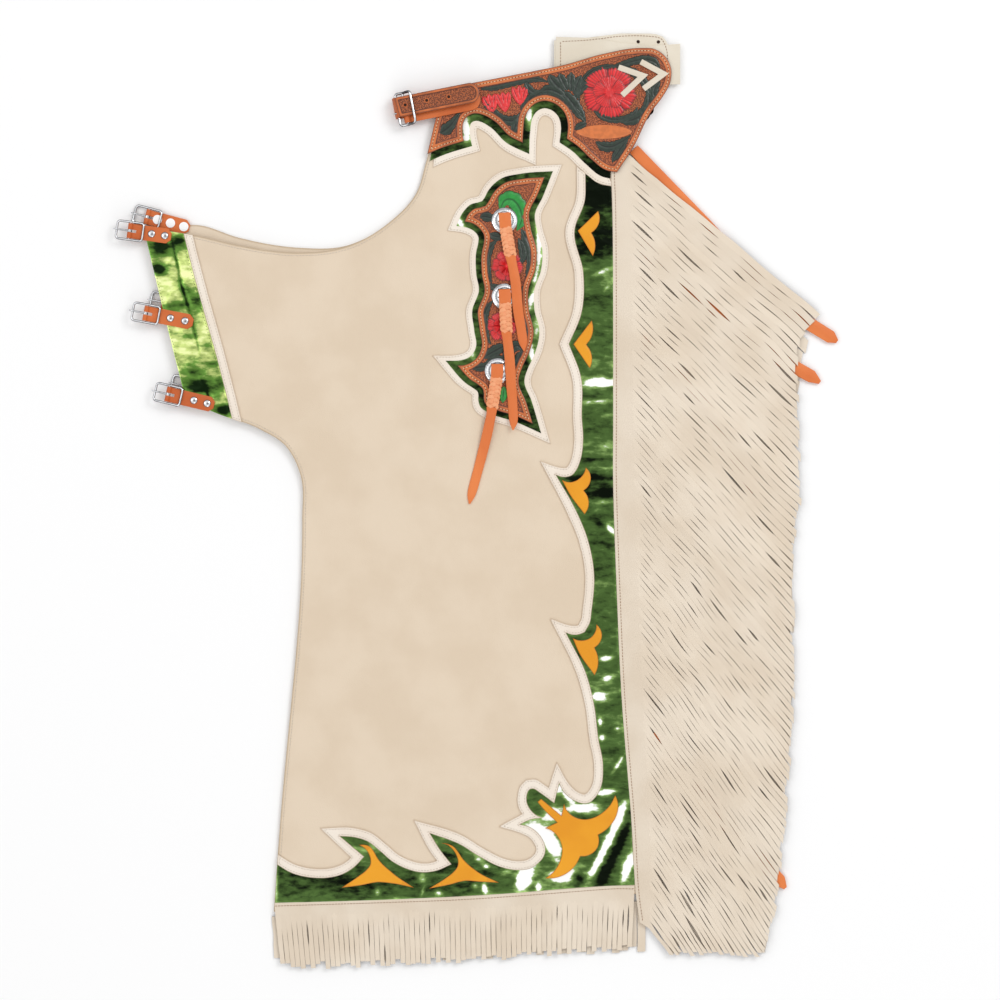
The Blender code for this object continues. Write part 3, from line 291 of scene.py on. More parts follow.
class Cut:
    """A piece's outline on the table, with a quick way to ask how far inside it a place is."""

    def __init__(self, loop, step):
        self.loop = eased(loop, step)
        self.corners = np.array([tuple(p) for p in self.loop])
        self.dense = eased(loop, FINE_STEP)
        self.tree = KDTree(len(self.dense))
        for number, spot in enumerate(self.dense):
            self.tree.insert((spot.x, spot.y, 0), number)
        self.tree.balance()

    def rim(self, x, y):
        """The distance to the nearest edge."""
        return self.tree.find((x, y, 0))[2]

    def holds(self, spots):
        """Which of the spots (an array of x, y) lie inside."""
        odd = np.zeros(len(spots), bool)
        ends = np.roll(self.corners, -1, axis=0)
        for (ax, ay), (bx, by) in zip(self.corners, ends):
            if ay == by:
                continue
            between = (spots[:, 1] < ay) != (spots[:, 1] < by)
            odd ^= between & (spots[:, 0] < ax + (bx - ax) * (spots[:, 1] - ay) / (by - ay))
        return odd

    def inside_line(self, inset):
        """Stretches of a line this far inside the edge, each a list of (place, heading)."""
        count = len(self.dense)
        stretches, run = [], []
        for i in range(count):
            way = self.dense[(i + 1) % count] - self.dense[i - 1]
            if way.length == 0:
                continue
            way.normalize()
            spot = self.dense[i] + Vector((-way.y, way.x)) * inset
            if self.rim(spot.x, spot.y) > inset - LINE_SLACK:
                if run and (spot - run[-1][0]).length > LINE_GAP:
                    stretches.append(run)
                    run = []
                run.append((spot, math.atan2(way.y, way.x)))
        return stretches + [run]


# A sheet's points: a row this close inside its edge, and rows set apart by this share of their pitch
EDGE_ROW = 0.8
ROW_SHARE = 0.87


def sheet(name, cut, pitch, top, thickness):
    """A piece of leather with this outline: its upper surface follows top(x, y, rim)."""
    low, high = cut.corners.min(0), cut.corners.max(0)
    rows = np.arange(low[1], high[1], pitch * ROW_SHARE)
    grid = []
    for number, y in enumerate(rows):
        xs = np.arange(low[0] + (number % 2) * pitch / 2, high[0], pitch)
        grid.append(np.column_stack([xs, np.full(len(xs), y)]))
    grid = np.concatenate(grid)
    grid = grid[cut.holds(grid)]
    spots = list(cut.loop)
    spots += [spot for run in cut.inside_line(EDGE_ROW) for spot, _ in run[::3]]
    spots += [Vector(spot) for spot in grid if cut.rim(*spot) > EDGE_ROW + pitch * 0.45]
    ring = list(range(len(cut.loop)))
    places, _, faces, _, _, owners = delaunay_2d_cdt(spots, [], [ring], 0, 1e-4)
    kept = [face for face, own in zip(faces, owners) if own]
    rims = [cut.rim(place.x, place.y) for place in places]
    points = [(p.x, p.y, top(p.x, p.y, rim)) for p, rim in zip(places, rims)]
    piece = piece_from(name, points, kept, rim=rims)
    outward_up(piece)
    put_on(piece, "SOLIDIFY", thickness=thickness, offset=-1)
    return piece


def outward_up(piece):
    """Turn every face of an open sheet to face up, and drop points that no face uses."""
    mesh = bmesh.new()
    mesh.from_mesh(piece.data)
    bmesh.ops.delete(mesh, geom=[v for v in mesh.verts if not v.link_faces], context="VERTS")
    for face in mesh.faces:
        face.normal_update()
        if face.normal.z < 0:
            face.normal_flip()
    mesh.to_mesh(piece.data)
    mesh.free()


def rounded_edge(rim, reach=0.9, drop=0.4):
    """How far a cut edge falls away."""
    return drop * max(0.0, 1 - rim / reach) ** 2


def flat_top(level, base=lay):
    return lambda x, y, rim: base(x, y) + level - rounded_edge(rim)


def band(rim, middle, half):
    """1 on a line this far inside the edge, falling softly to 0 beside it."""
    return math.exp(-(((rim - middle) / half) ** 2))


# Soft garment leather over its seams
CROWN_RISE = 0.55
CROWN_REACH = 5.0
CROWN_SINK = 0.2


def padded_top(level):
    """Soft garment leather: crowned between its edges, drawn down along its two seams."""

    def top(x, y, rim):
        crown = CROWN_RISE * (1 - (1 - min(rim, CROWN_REACH) / CROWN_REACH) ** 2)
        seam = 0.3 * band(rim, 2.0, 0.8)
        return lay(x, y) + level - CROWN_SINK + crown - seam - rounded_edge(rim, 0.9, 0.5)

    return top


# Crumpled foil: how close its broad folds lie, how much closer the fine ones, and how far a crease may sink
FOLD_SCALE = 0.035
FINE_FOLDS = 2.7
DEEPEST_CREASE = -0.5


def foil_top(level, creases=(), depth=0.5):
    """Crumpled foil leather: fine sharp ridges over the leg."""

    def top(x, y, rim):
        spot = Vector((x * 0.6, y, 0)) * FOLD_SCALE
        fold = 1 - abs(noise.noise(spot))
        fine = 1 - abs(noise.noise(spot * FINE_FOLDS + Vector((5, 9, 2))))
        crumple = depth * (fold**3 - 0.6) + 0.45 * depth * (fine**3 - 0.6)
        creased = sum(ridge(x, y, *row) for row in creases)
        relief = smooth_step(rim / 3) * max(DEEPEST_CREASE, crumple - 0.5 * creased)
        return lay(x, y) + level + relief - rounded_edge(rim, 0.9, 0.25)

    return top


# Surface finishes

VECTOR = "NodeSocketVector"
VALUE = "NodeSocketFloat"


def seen(red, green, blue):
    """A colour as it looks on a screen, 0 to 255, as the shader wants it."""
    return (*[(part / 255) ** 2.2 for part in (red, green, blue)], 1)


def new_group(name, inputs, outputs):
    group = bpy.data.node_groups.new(name, "ShaderNodeTree")
    for label, kind, value in inputs:
        socket = group.interface.new_socket(label, in_out="INPUT", socket_type=kind)
        if value is not None:
            socket.default_value = value
    for label in outputs:
        group.interface.new_socket(label, in_out="OUTPUT", socket_type=VALUE)
    return group, group.nodes.new("NodeGroupInput").outputs, group.nodes.new("NodeGroupOutput")


def link_up(tree, step, links):
    """Join a node's inputs to sockets, or set them to values."""
    for label, source in links.items():
        if hasattr(source, "is_linked"):
            tree.links.new(source, step.inputs[label])
        else:
            step.inputs[label].default_value = source


def add(tree, kind, links=(), **settings):
    """Add a node; settings name its properties, links pair its inputs with sockets or values."""
    step = tree.nodes.new(kind)
    for label, value in settings.items():
        setattr(step, label, value)
    link_up(tree, step, dict(links))
    return step


def mixed(tree, share, first, second):
    """A colour between two, by share."""
    return add(tree, "ShaderNodeMix", {0: share, 6: first, 7: second}, data_type="RGBA").outputs[2]


def ramp(tree, value, low, high):
    """A value brought from the span low to high into 0 to 1, softly."""
    links = {0: value, 1: low, 2: high}
    return add(tree, "ShaderNodeMapRange", links, interpolation_type="SMOOTHSTEP").outputs[0]


def worked_out(tree, operation, *values):
    """A value made from others by one operation."""
    return add(tree, "ShaderNodeMath", dict(enumerate(values)), operation=operation).outputs[0]


def clouds(tree, place, scale, detail, **more):
    """Soft noise across the table."""
    links = {"Vector": place, "Scale": scale, "Detail": detail, **more}
    return add(tree, "ShaderNodeTexNoise", links, noise_dimensions="2D").outputs[0]


def cells(tree, place, scale):
    """Distance from the middle of the nearest round cell."""
    links = {"Vector": place, "Scale": scale}
    return add(tree, "ShaderNodeTexVoronoi", links, voronoi_dimensions="2D").outputs["Distance"]


def grain_group():
    """Leather grain: pebbles and pores as a height, and a slow mottle of the colour."""
    inputs = (("Place", VECTOR, None), ("Pebbles", VALUE, 900.0), ("Patches", VALUE, 14.0))
    group, start, end = new_group("leather_grain", inputs, ("Height", "Mottle"))
    place, pebbles = start["Place"], start["Pebbles"]
    pores = clouds(group, place, pebbles, 2.0)
    height = worked_out(group, "MULTIPLY_ADD", cells(group, place, pebbles), 0.6, pores)
    mottle = ramp(group, clouds(group, place, start["Patches"], 3.0), 0.3, 0.7)
    link_up(group, end, {"Height": height, "Mottle": mottle})
    return group


# The foil's folds run across the band, so its pattern is drawn out that way
FOIL_GRAIN = (0.55, 1.25, 1.0)


def crumple_group():
    """Crumpled foil: fine folds as a height, and a painted flicker of light and shade over them."""
    inputs = (("Place", VECTOR, None), ("Folds", VALUE, 60.0), ("Flecks", VALUE, 120.0))
    group, start, end = new_group("foil_crumple", inputs, ("Height", "PaintedFlicker"))
    links = {0: start["Place"], 1: FOIL_GRAIN}
    place = add(group, "ShaderNodeVectorMath", links, operation="MULTIPLY").outputs[0]
    height = clouds(group, place, start["Folds"], 5.0, Roughness=0.5, Distortion=0.5)
    # The slow patches and fine flecks make the painted flicker of light and shade
    slow = clouds(group, place, 24.0, 3.0, Distortion=0.6)
    fleck = clouds(group, place, start["Flecks"], 4.0, Roughness=0.6)
    painted_flicker = worked_out(group, "MULTIPLY_ADD", slow, 1.6, -1.8)
    painted_flicker = worked_out(group, "MULTIPLY_ADD", fleck, 2.0, painted_flicker)
    link_up(group, end, {"Height": height, "PaintedFlicker": painted_flicker})
    return group


def stipple_group():
    """Backgrounding of a tooled ground: close round dents as a height."""
    inputs = (("Place", VECTOR, None), ("Dents", VALUE, 620.0))
    group, start, end = new_group("stippled_ground", inputs, ("Height",))
    dents = cells(group, start["Place"], start["Dents"])
    link_up(group, end, {"Height": ramp(group, dents, 0.1, 0.6)})
    return group


def worn_group():
    """Edge shading: 1 at the cut edge of a piece, falling to 0 inside it."""
    inputs = (("Rim", VALUE, 0.0), ("Reach", VALUE, 2.0))
    group, start, end = new_group("edge_shade", inputs, ("Shade",))
    near = worked_out(group, "DIVIDE", start["Rim"], start["Reach"])
    link_up(group, end, {"Shade": ramp(group, near, 1.0, 0.0)})
    return group


GRAIN = grain_group()
CRUMPLE = crumple_group()
STIPPLE = stipple_group()
WORN = worn_group()


def new_material(name):
    material = bpy.data.materials.new(name)
    material.use_nodes = True
    return material, material.node_tree, material.node_tree.nodes["Principled BSDF"]


def grouped(tree, group, links):
    """One of the shared effects, placed in a material with its own values."""
    step = tree.nodes.new("ShaderNodeGroup")
    step.node_tree = group
    link_up(tree, step, links)
    return step.outputs


def object_place(tree):
    return add(tree, "ShaderNodeTexCoord").outputs["Object"]


def kept_value(tree, label):
    """A number that the mesh keeps on its points."""
    return add(tree, "ShaderNodeAttribute", attribute_name=label).outputs["Fac"]


def bump(tree, shader, height, distance):
    relief = add(tree, "ShaderNodeBump", {"Height": height, "Distance": distance})
    link_up(tree, shader, {"Normal": relief.outputs[0]})


# How deep the fine relief of each finish is, in metres
GRAIN_DEPTH = 0.00012
CRUMPLE_DEPTH = 0.0005
STIPPLE_DEPTH = 0.0004
BRUSHED_DEPTH = 0.0001


def leather(name, colour, shade, edge=None, rough=0.6, pebbles=900.0, reach=2.5, tone_and_side_shade=False):
    """Leather: mottled between two colours, grained, and darker at its cut edges; or darkened by a kept
    tone, which on the fringe paints shade on the strands' sides.
    """
    material, tree, shader = new_material(name)
    grain = grouped(tree, GRAIN, {"Place": object_place(tree), "Pebbles": pebbles})
    skin = mixed(tree, grain["Mottle"], seen(*shade), seen(*colour))
    # Painted shade: the kept tone mixes in the edge colour, fully on the fringe strands' sides
    if tone_and_side_shade:
        skin = mixed(tree, kept_value(tree, "tone_and_side_shade"), seen(*edge), skin)
    elif edge:
        worn = grouped(tree, WORN, {"Rim": kept_value(tree, "rim"), "Reach": reach})
        skin = mixed(tree, worn["Shade"], skin, seen(*edge))
    link_up(tree, shader, {"Base Color": skin, "Roughness": rough, "Specular IOR Level": 0.35})
    bump(tree, shader, grain["Height"], GRAIN_DEPTH)
    return material


def foil(name, painted_shade, middle, painted_pale_light, painted_glint, folds=60.0):
    """Metallic foil leather: a green body with painted shade, painted pale light and painted near-white
    glints, finely crumpled.
    """
    material, tree, shader = new_material(name)
    crumple = grouped(tree, CRUMPLE, {"Place": object_place(tree), "Folds": folds})
    # Painted light and shade: the flicker and each point's kept light move the colour from painted shade
    # through the green body to painted pale light and painted glints
    light = worked_out(tree, "MULTIPLY_ADD", crumple["PaintedFlicker"], 0.75, kept_value(tree, "painted_sheen"))
    skin = mixed(tree, ramp(tree, light, -0.75, 0.05), seen(*painted_shade), seen(*middle))
    skin = mixed(tree, ramp(tree, light, 0.05, 0.55), skin, seen(*painted_pale_light))
    skin = mixed(tree, ramp(tree, light, 0.55, 0.85), skin, seen(*painted_glint))
    # Where the painted glints are, the metal gives way to a plain near-white diffuse colour
    metallic_off_at_painted_glints = add(tree, "ShaderNodeMapRange", {0: light, 1: 0.45, 2: 0.85, 3: 0.85, 4: 0.0})
    link_up(tree, shader, {"Base Color": skin, "Metallic": metallic_off_at_painted_glints.outputs[0], "Roughness": 0.3})
    bump(tree, shader, crumple["Height"], CRUMPLE_DEPTH)
    return material


def tooled(name, border_width, smooth_colour, ground_colour, deep_colour):
    """Tooled leather: a smooth burnished border, a cut line, and a stippled ground inside it."""
    material, tree, shader = new_material(name)
    place, rim = object_place(tree), kept_value(tree, "rim")
    inner = ramp(tree, rim, border_width - 0.5, border_width + 0.3)
    grain = grouped(tree, GRAIN, {"Place": place, "Patches": 60.0})
    dents = grouped(tree, STIPPLE, {"Place": place})["Height"]
    worn = grouped(tree, WORN, {"Rim": rim, "Reach": 1.3})
    border = mixed(tree, grain["Mottle"], seen(*ground_colour), seen(*smooth_colour))
    border = mixed(tree, worn["Shade"], border, seen(*deep_colour))
    ground = mixed(tree, dents, seen(*deep_colour), seen(*ground_colour))
    off = worked_out(tree, "ABSOLUTE", worked_out(tree, "SUBTRACT", rim, border_width))
    skin = mixed(tree, inner, border, ground)
    skin = mixed(tree, ramp(tree, off, 0.8, 0.2), skin, seen(*deep_colour))
    link_up(tree, shader, {"Base Color": skin, "Roughness": 0.42, "Coat Weight": 0.15})
    bump(tree, shader, worked_out(tree, "MULTIPLY", dents, inner), STIPPLE_DEPTH)
    return material


def painted(name, ridge_colour, groove_colour):
    """Paint on carved leather: darker in its cuts, lighter on its crests."""
    material, tree, shader = new_material(name)
    grain = grouped(tree, GRAIN, {"Place": object_place(tree), "Patches": 160.0})
    crest = ramp(tree, kept_value(tree, "crest"), 0.15, 0.85)
    skin = mixed(tree, crest, seen(*groove_colour), seen(*ridge_colour))
    rubbed = worked_out(tree, "MULTIPLY", grain["Mottle"], 0.25)
    skin = mixed(tree, rubbed, skin, seen(*groove_colour))
    gloss = {"Roughness": 0.35, "Coat Weight": 0.35, "Coat Roughness": 0.25}
    link_up(tree, shader, {"Base Color": skin, **gloss})
    bump(tree, shader, grain["Height"], BRUSHED_DEPTH)
    return material


def silver(name, colour, rough, painted_dark_sides):
    """Polished white metal with handling scratches; its sides turned from the view are painted near black, a
    painted reflection of the dark room.
    """
    material, tree, shader = new_material(name)
    grain = grouped(tree, GRAIN, {"Place": object_place(tree), "Pebbles": 300.0, "Patches": 120.0})
    skin = mixed(tree, grain["Mottle"], seen(*colour), seen(*[part * 0.86 for part in colour]))
    # Painted reflection: a surface turning away from the view is painted dark
    side = add(tree, "ShaderNodeLayerWeight", {"Blend": 0.5}).outputs["Facing"]
    shade = worked_out(tree, "MULTIPLY", ramp(tree, side, 0.06, 0.34), painted_dark_sides)
    skin = mixed(tree, shade, skin, seen(24, 25, 28))
    links = {0: grain["Mottle"], 3: rough, 4: rough + 0.12}
    spread = add(tree, "ShaderNodeMapRange", links).outputs[0]
    link_up(tree, shader, {"Base Color": skin, "Metallic": 1.0, "Roughness": spread})
    return material


def thread(name, colour):
    """Waxed thread, twisted."""
    material, tree, shader = new_material(name)
    waves = {"Vector": object_place(tree), "Scale": 900.0, "Distortion": 2.0}
    twist = add(tree, "ShaderNodeTexWave", waves, bands_direction="DIAGONAL").outputs["Fac"]
    skin = mixed(tree, twist, seen(*[part * 0.8 for part in colour]), seen(*colour))
    link_up(tree, shader, {"Base Color": skin, "Roughness": 0.6})
    bump(tree, shader, twist, BRUSHED_DEPTH)
    return material


PANEL_CREAM = leather("panel_cream", (222, 204, 181), (216, 197, 173), (186, 164, 136), rough=0.62)
TRIM_PALE = leather("trim_pale", (238, 227, 213), (232, 218, 202), (205, 186, 164), rough=0.5, reach=1.2)
# The fringe's third colour is painted shade on its strands' sides, and a little random tone on their tops
FRINGE_CREAM = leather("fringe_cream", (228, 214, 195), (220, 204, 183), (84, 58, 38), tone_and_side_shade=True)
BELT_CREAM = leather("belt_cream", (225, 216, 199), (216, 205, 186), rough=0.5)
GOLD = leather("gold", (233, 158, 34), (224, 146, 28), (180, 102, 20), rough=0.45, reach=1.2)
TAN_STRAP = leather("tan_strap", (208, 110, 58), (192, 94, 46), rough=0.42, pebbles=1200.0)
STRING_TAN = leather("string_tan", (228, 128, 70), (216, 114, 60), (240, 168, 124), 0.5, pebbles=1200.0)
BILLET_TAN = leather("billet_tan", (192, 104, 56), (174, 88, 44), rough=0.45)
BILLET_TOOLED = tooled("billet_tooled", BILLET_BORDER, (202, 108, 56), (164, 88, 48), (84, 38, 20))
# Each foil's last three colours are painted shade, painted pale light and painted glints
FOIL_GREEN = foil("foil_green", (18, 27, 14), (94, 126, 66), (158, 196, 112), (255, 255, 250))
FOIL_CUFF = foil("foil_cuff", (24, 44, 18), (112, 160, 70), (226, 246, 146), (246, 254, 178), 40.0)
TOOLED_TAN = tooled("tooled_tan", TOOLED_BORDER, (205, 112, 60), (172, 92, 52), (92, 42, 24))
LEAF_DARK = painted("leaf_dark", (40, 55, 44), (8, 12, 10))
LEAF_GREEN = painted("leaf_green", (40, 150, 60), (12, 70, 30))
FLOWER_RED = painted("flower_red", (230, 44, 46), (104, 10, 18))
STEM_TAN = painted("stem_tan", (214, 118, 62), (120, 60, 34))
# The last number of each is how strongly its sides are painted dark as a reflection
CHROME = silver("chrome", (244, 245, 248), 0.1, painted_dark_sides=0.95)
DOME = silver("dome", (232, 232, 236), 0.14, painted_dark_sides=0.6)
RIVET_WHITE = painted("rivet_white", (252, 252, 252), (236, 236, 238))
THREAD_CREAM = thread("thread_cream", (247, 226, 186))
THREAD_PALE = thread("thread_pale", (226, 212, 194))
THREAD_TAN = thread("thread_tan", (176, 140, 112))
STITCH_DARK = thread("stitch_dark", (46, 66, 34))
# Painted shade: holes and slots are dark discs and bars of this colour
PAINTED_HOLE_SHADE = leather("painted_hole_shade", (52, 30, 20), (38, 22, 16), rough=0.8)


# The camera looks straight down, as the photo does

PIXEL = 1.1
FRAME_PIXELS = 1000
PHOTO_MIDDLE = (26.95, 2.2)
LENS = 100.0
SENSOR = 36.0


def make_camera():
    data = bpy.data.cameras.new("camera")
    data.lens = LENS
    data.sensor_width = SENSOR
    camera = bpy.data.objects.new("camera", data)
    bpy.context.scene.collection.objects.link(camera)
    height = FRAME_PIXELS * PIXEL * LENS / SENSOR
    camera.location = TO_FRAME @ Vector((*PHOTO_MIDDLE, height + 4))
    data.clip_start, data.clip_end = 0.1, 50.0
    bpy.context.scene.camera = camera


def make_floor():
    bpy.ops.mesh.primitive_plane_add(size=14, location=(0, 0, -0.0006))
    floor = bpy.context.object
    floor.name = "floor"
    material, tree, shader = new_material("floor_white")
    link_up(tree, shader, {"Base Color": (0.93, 0.93, 0.93, 1), "Roughness": 0.9})
    floor.data.materials.append(material)


# Softboxes round the table; columns: name, place in metres, size, power in watts
SOFTBOXES = (
    ("key", (1.7, 1.5, 2.2), 1.2, 26.0),
    ("fill", (-2.2, 0.6, 2.0), 1.8, 13.0),
    ("rim", (0.2, -2.4, 1.6), 1.4, 10.0),
)

# The room's light from the floor up to overhead; columns: height, brightness
ROOM_STOPS = ((0.55, 0.8), (0.86, 1.25), (0.955, 1.15), (0.985, 0.3))
ROOM_POWER = 0.82


def make_lights():
    for name, place, size, power in SOFTBOXES:
        data = bpy.data.lights.new(name, "AREA")
        data.shape, data.size, data.energy = "SQUARE", size, power
        lamp = bpy.data.objects.new(name, data)
        bpy.context.scene.collection.objects.link(lamp)
        lamp.location = place
        lamp.rotation_euler = (-Vector(place)).to_track_quat("-Z", "Y").to_euler()
    world = bpy.data.worlds.new("studio")
    bpy.context.scene.world = world
    world.use_nodes = True
    tree = world.node_tree
    up = add(tree, "ShaderNodeSeparateXYZ", {0: add(tree, "ShaderNodeTexCoord").outputs["Generated"]})
    ring = add(tree, "ShaderNodeValToRGB", {0: up.outputs["Z"]})
    stops = ring.color_ramp.elements
    stops[0].position, stops[0].color = 0.0, (0.55, 0.55, 0.56, 1)
    stops[1].position, stops[1].color = 1.0, (0.10, 0.10, 0.10, 1)
    for position, level in ROOM_STOPS:
        stop = stops.new(position)
        stop.color = (level, level, level, 1)
    link_up(tree, tree.nodes["Background"], {"Color": ring.outputs[0], "Strength": ROOM_POWER})
    bpy.context.scene.view_settings.view_transform = "Standard"


make_camera()
make_lights()
make_floor()


# Shapes swept along a line


class Heap:
    """Gathers many small closed shapes that become one object, with one named number on their points."""

    def __init__(self, label="tone_and_side_shade"):
        self.label = label
        self.places, self.faces, self.values = [], [], []

    def add(self, places, faces, value=0.5):
        first = len(self.places)
        self.places += [tuple(place) for place in places]
        self.faces += [tuple(first + number for number in face) for face in faces]
        self.values += [value] * len(places) if isinstance(value, float) else list(value)

    def piece(self, name):
        piece = piece_from(name, self.places, self.faces, **{self.label: self.values})
        outward(piece)
        return piece


def drawn(rows, step):
    """Rows joined by a curve through them and cut into short steps; every column is carried along."""
    rows = [np.array(row, float) for row in rows]
    rows = [2 * rows[0] - rows[1], *rows, 2 * rows[-1] - rows[-2]]
    spots = []
    for a, b, c, d in zip(rows, rows[1:], rows[2:], rows[3:]):
        count = max(1, math.ceil(math.hypot(*(c - b)[:2]) / step))
        for k in range(count):
            t = k / count
            bend = (c - a) + t * (2 * a - 5 * b + 4 * c - d + t * (3 * (b - c) + d - a))
            spots.append(b + 0.5 * t * bend)
    return [*spots, rows[-2]]


def headings(spots):
    """The direction at each spot of a line, on the table."""
    ways = []
    for i in range(len(spots)):
        before, after = spots[max(0, i - 1)], spots[min(len(spots) - 1, i + 1)]
        ways.append(Vector((after[0] - before[0], after[1] - before[1])).normalized())
    return ways


def beside(x, y, way, side):
    """The place this far to the left of a line that runs this way."""
    return x - way.y * side, y + way.x * side


def around(count):
    """The cosine and sine of even turns of a circle."""
    return [(math.cos(math.tau * k / count), math.sin(math.tau * k / count)) for k in range(count)]


def in_rings(places, sides):
    """One long list of points cut into rings."""
    return [places[k : k + sides] for k in range(0, len(places), sides)]


def loft(rings, closed=False):
    """A skin over rings of points, capped at both ends unless it closes on itself."""
    sides, count = len(rings[0]), len(rings)
    places = [place for ring in rings for place in ring]
    faces = []
    for i in range(count if closed else count - 1):
        here, there = i * sides, (i + 1) % count * sides
        for k in range(sides):
            after = (k + 1) % sides
            faces.append((here + k, here + after, there + after, there + k))
    if not closed:
        faces.append(tuple(range(sides - 1, -1, -1)))
        faces.append(tuple(range((count - 1) * sides, count * sides)))
    return places, faces


# Outline of a flat strap with softened edges; columns: share of half width, share of thickness
STRAP_PROFILE = (
    (-1, 0.25),
    (-0.9, 0),
    (0.9, 0),
    (1, 0.25),
    (1, 0.7),
    (0.88, 1),
    (0, 1.06),
    (-0.88, 1),
    (-1, 0.7),
)
STRAP_STEP = 1.5


def strap_ring(x, y, way, width, low, thickness):
    """A flat strap's outline, set across its way."""
    ring = []
    for across, up in STRAP_PROFILE:
        ring.append((*beside(x, y, way, across * width / 2), low + up * thickness))
    return ring


def strap_along(rows):
    """A flat strap on the leg, along rows of x, y, height, width, thickness."""
    spots = drawn(rows, STRAP_STEP)
    rings = []
    for (x, y, level, width, thickness), way in zip(spots, headings(spots)):
        rings.append(strap_ring(x, y, way, width, level + leg_height(x, y), thickness))
    return loft(rings)


def wire(path, radius, sides=12, closed=False):
    """A round wire along the path; radius may be a list with one for each place."""
    up = Vector((0, 0, 1))
    count = len(path)
    rings = []
    for i, here in enumerate(path):
        before = path[i - 1] if closed or i > 0 else here
        after = path[(i + 1) % count] if closed or i < count - 1 else here
        way = (after - before).normalized()
        side = up.cross(way).normalized()
        over = way.cross(side)
        width = radius[i] if isinstance(radius, (list, tuple)) else radius
        rings.append([here + (side * cos + over * sin) * width for cos, sin in around(sides)])
    return loft(rings, closed)


def lathe(profile, x, y, z, sides, wave=None):
    """A profile of (radius, height) turned about an upright axis; wave(radius, angle) adds engraving."""
    rings = []
    for radius, height in profile:
        ring = []
        for k in range(sides):
            angle = math.tau * k / sides
            cut = wave(radius, angle) if wave else 0
            ring.append((x + radius * math.cos(angle), y + radius * math.sin(angle), z + height + cut))
        rings.append(ring)
    return loft(rings)


# Leather panels and bands

# The outline and the upper face of every flat piece, by its node
CUTS = {}
TOPS = {}

# How much painted light or shade each piece of foil gets on the whole
FOIL_BASE = {"edge_foil": 0.0, "cuff_foil": 0.5, "yoke_foil": -0.4, "badge_foil": -0.35}

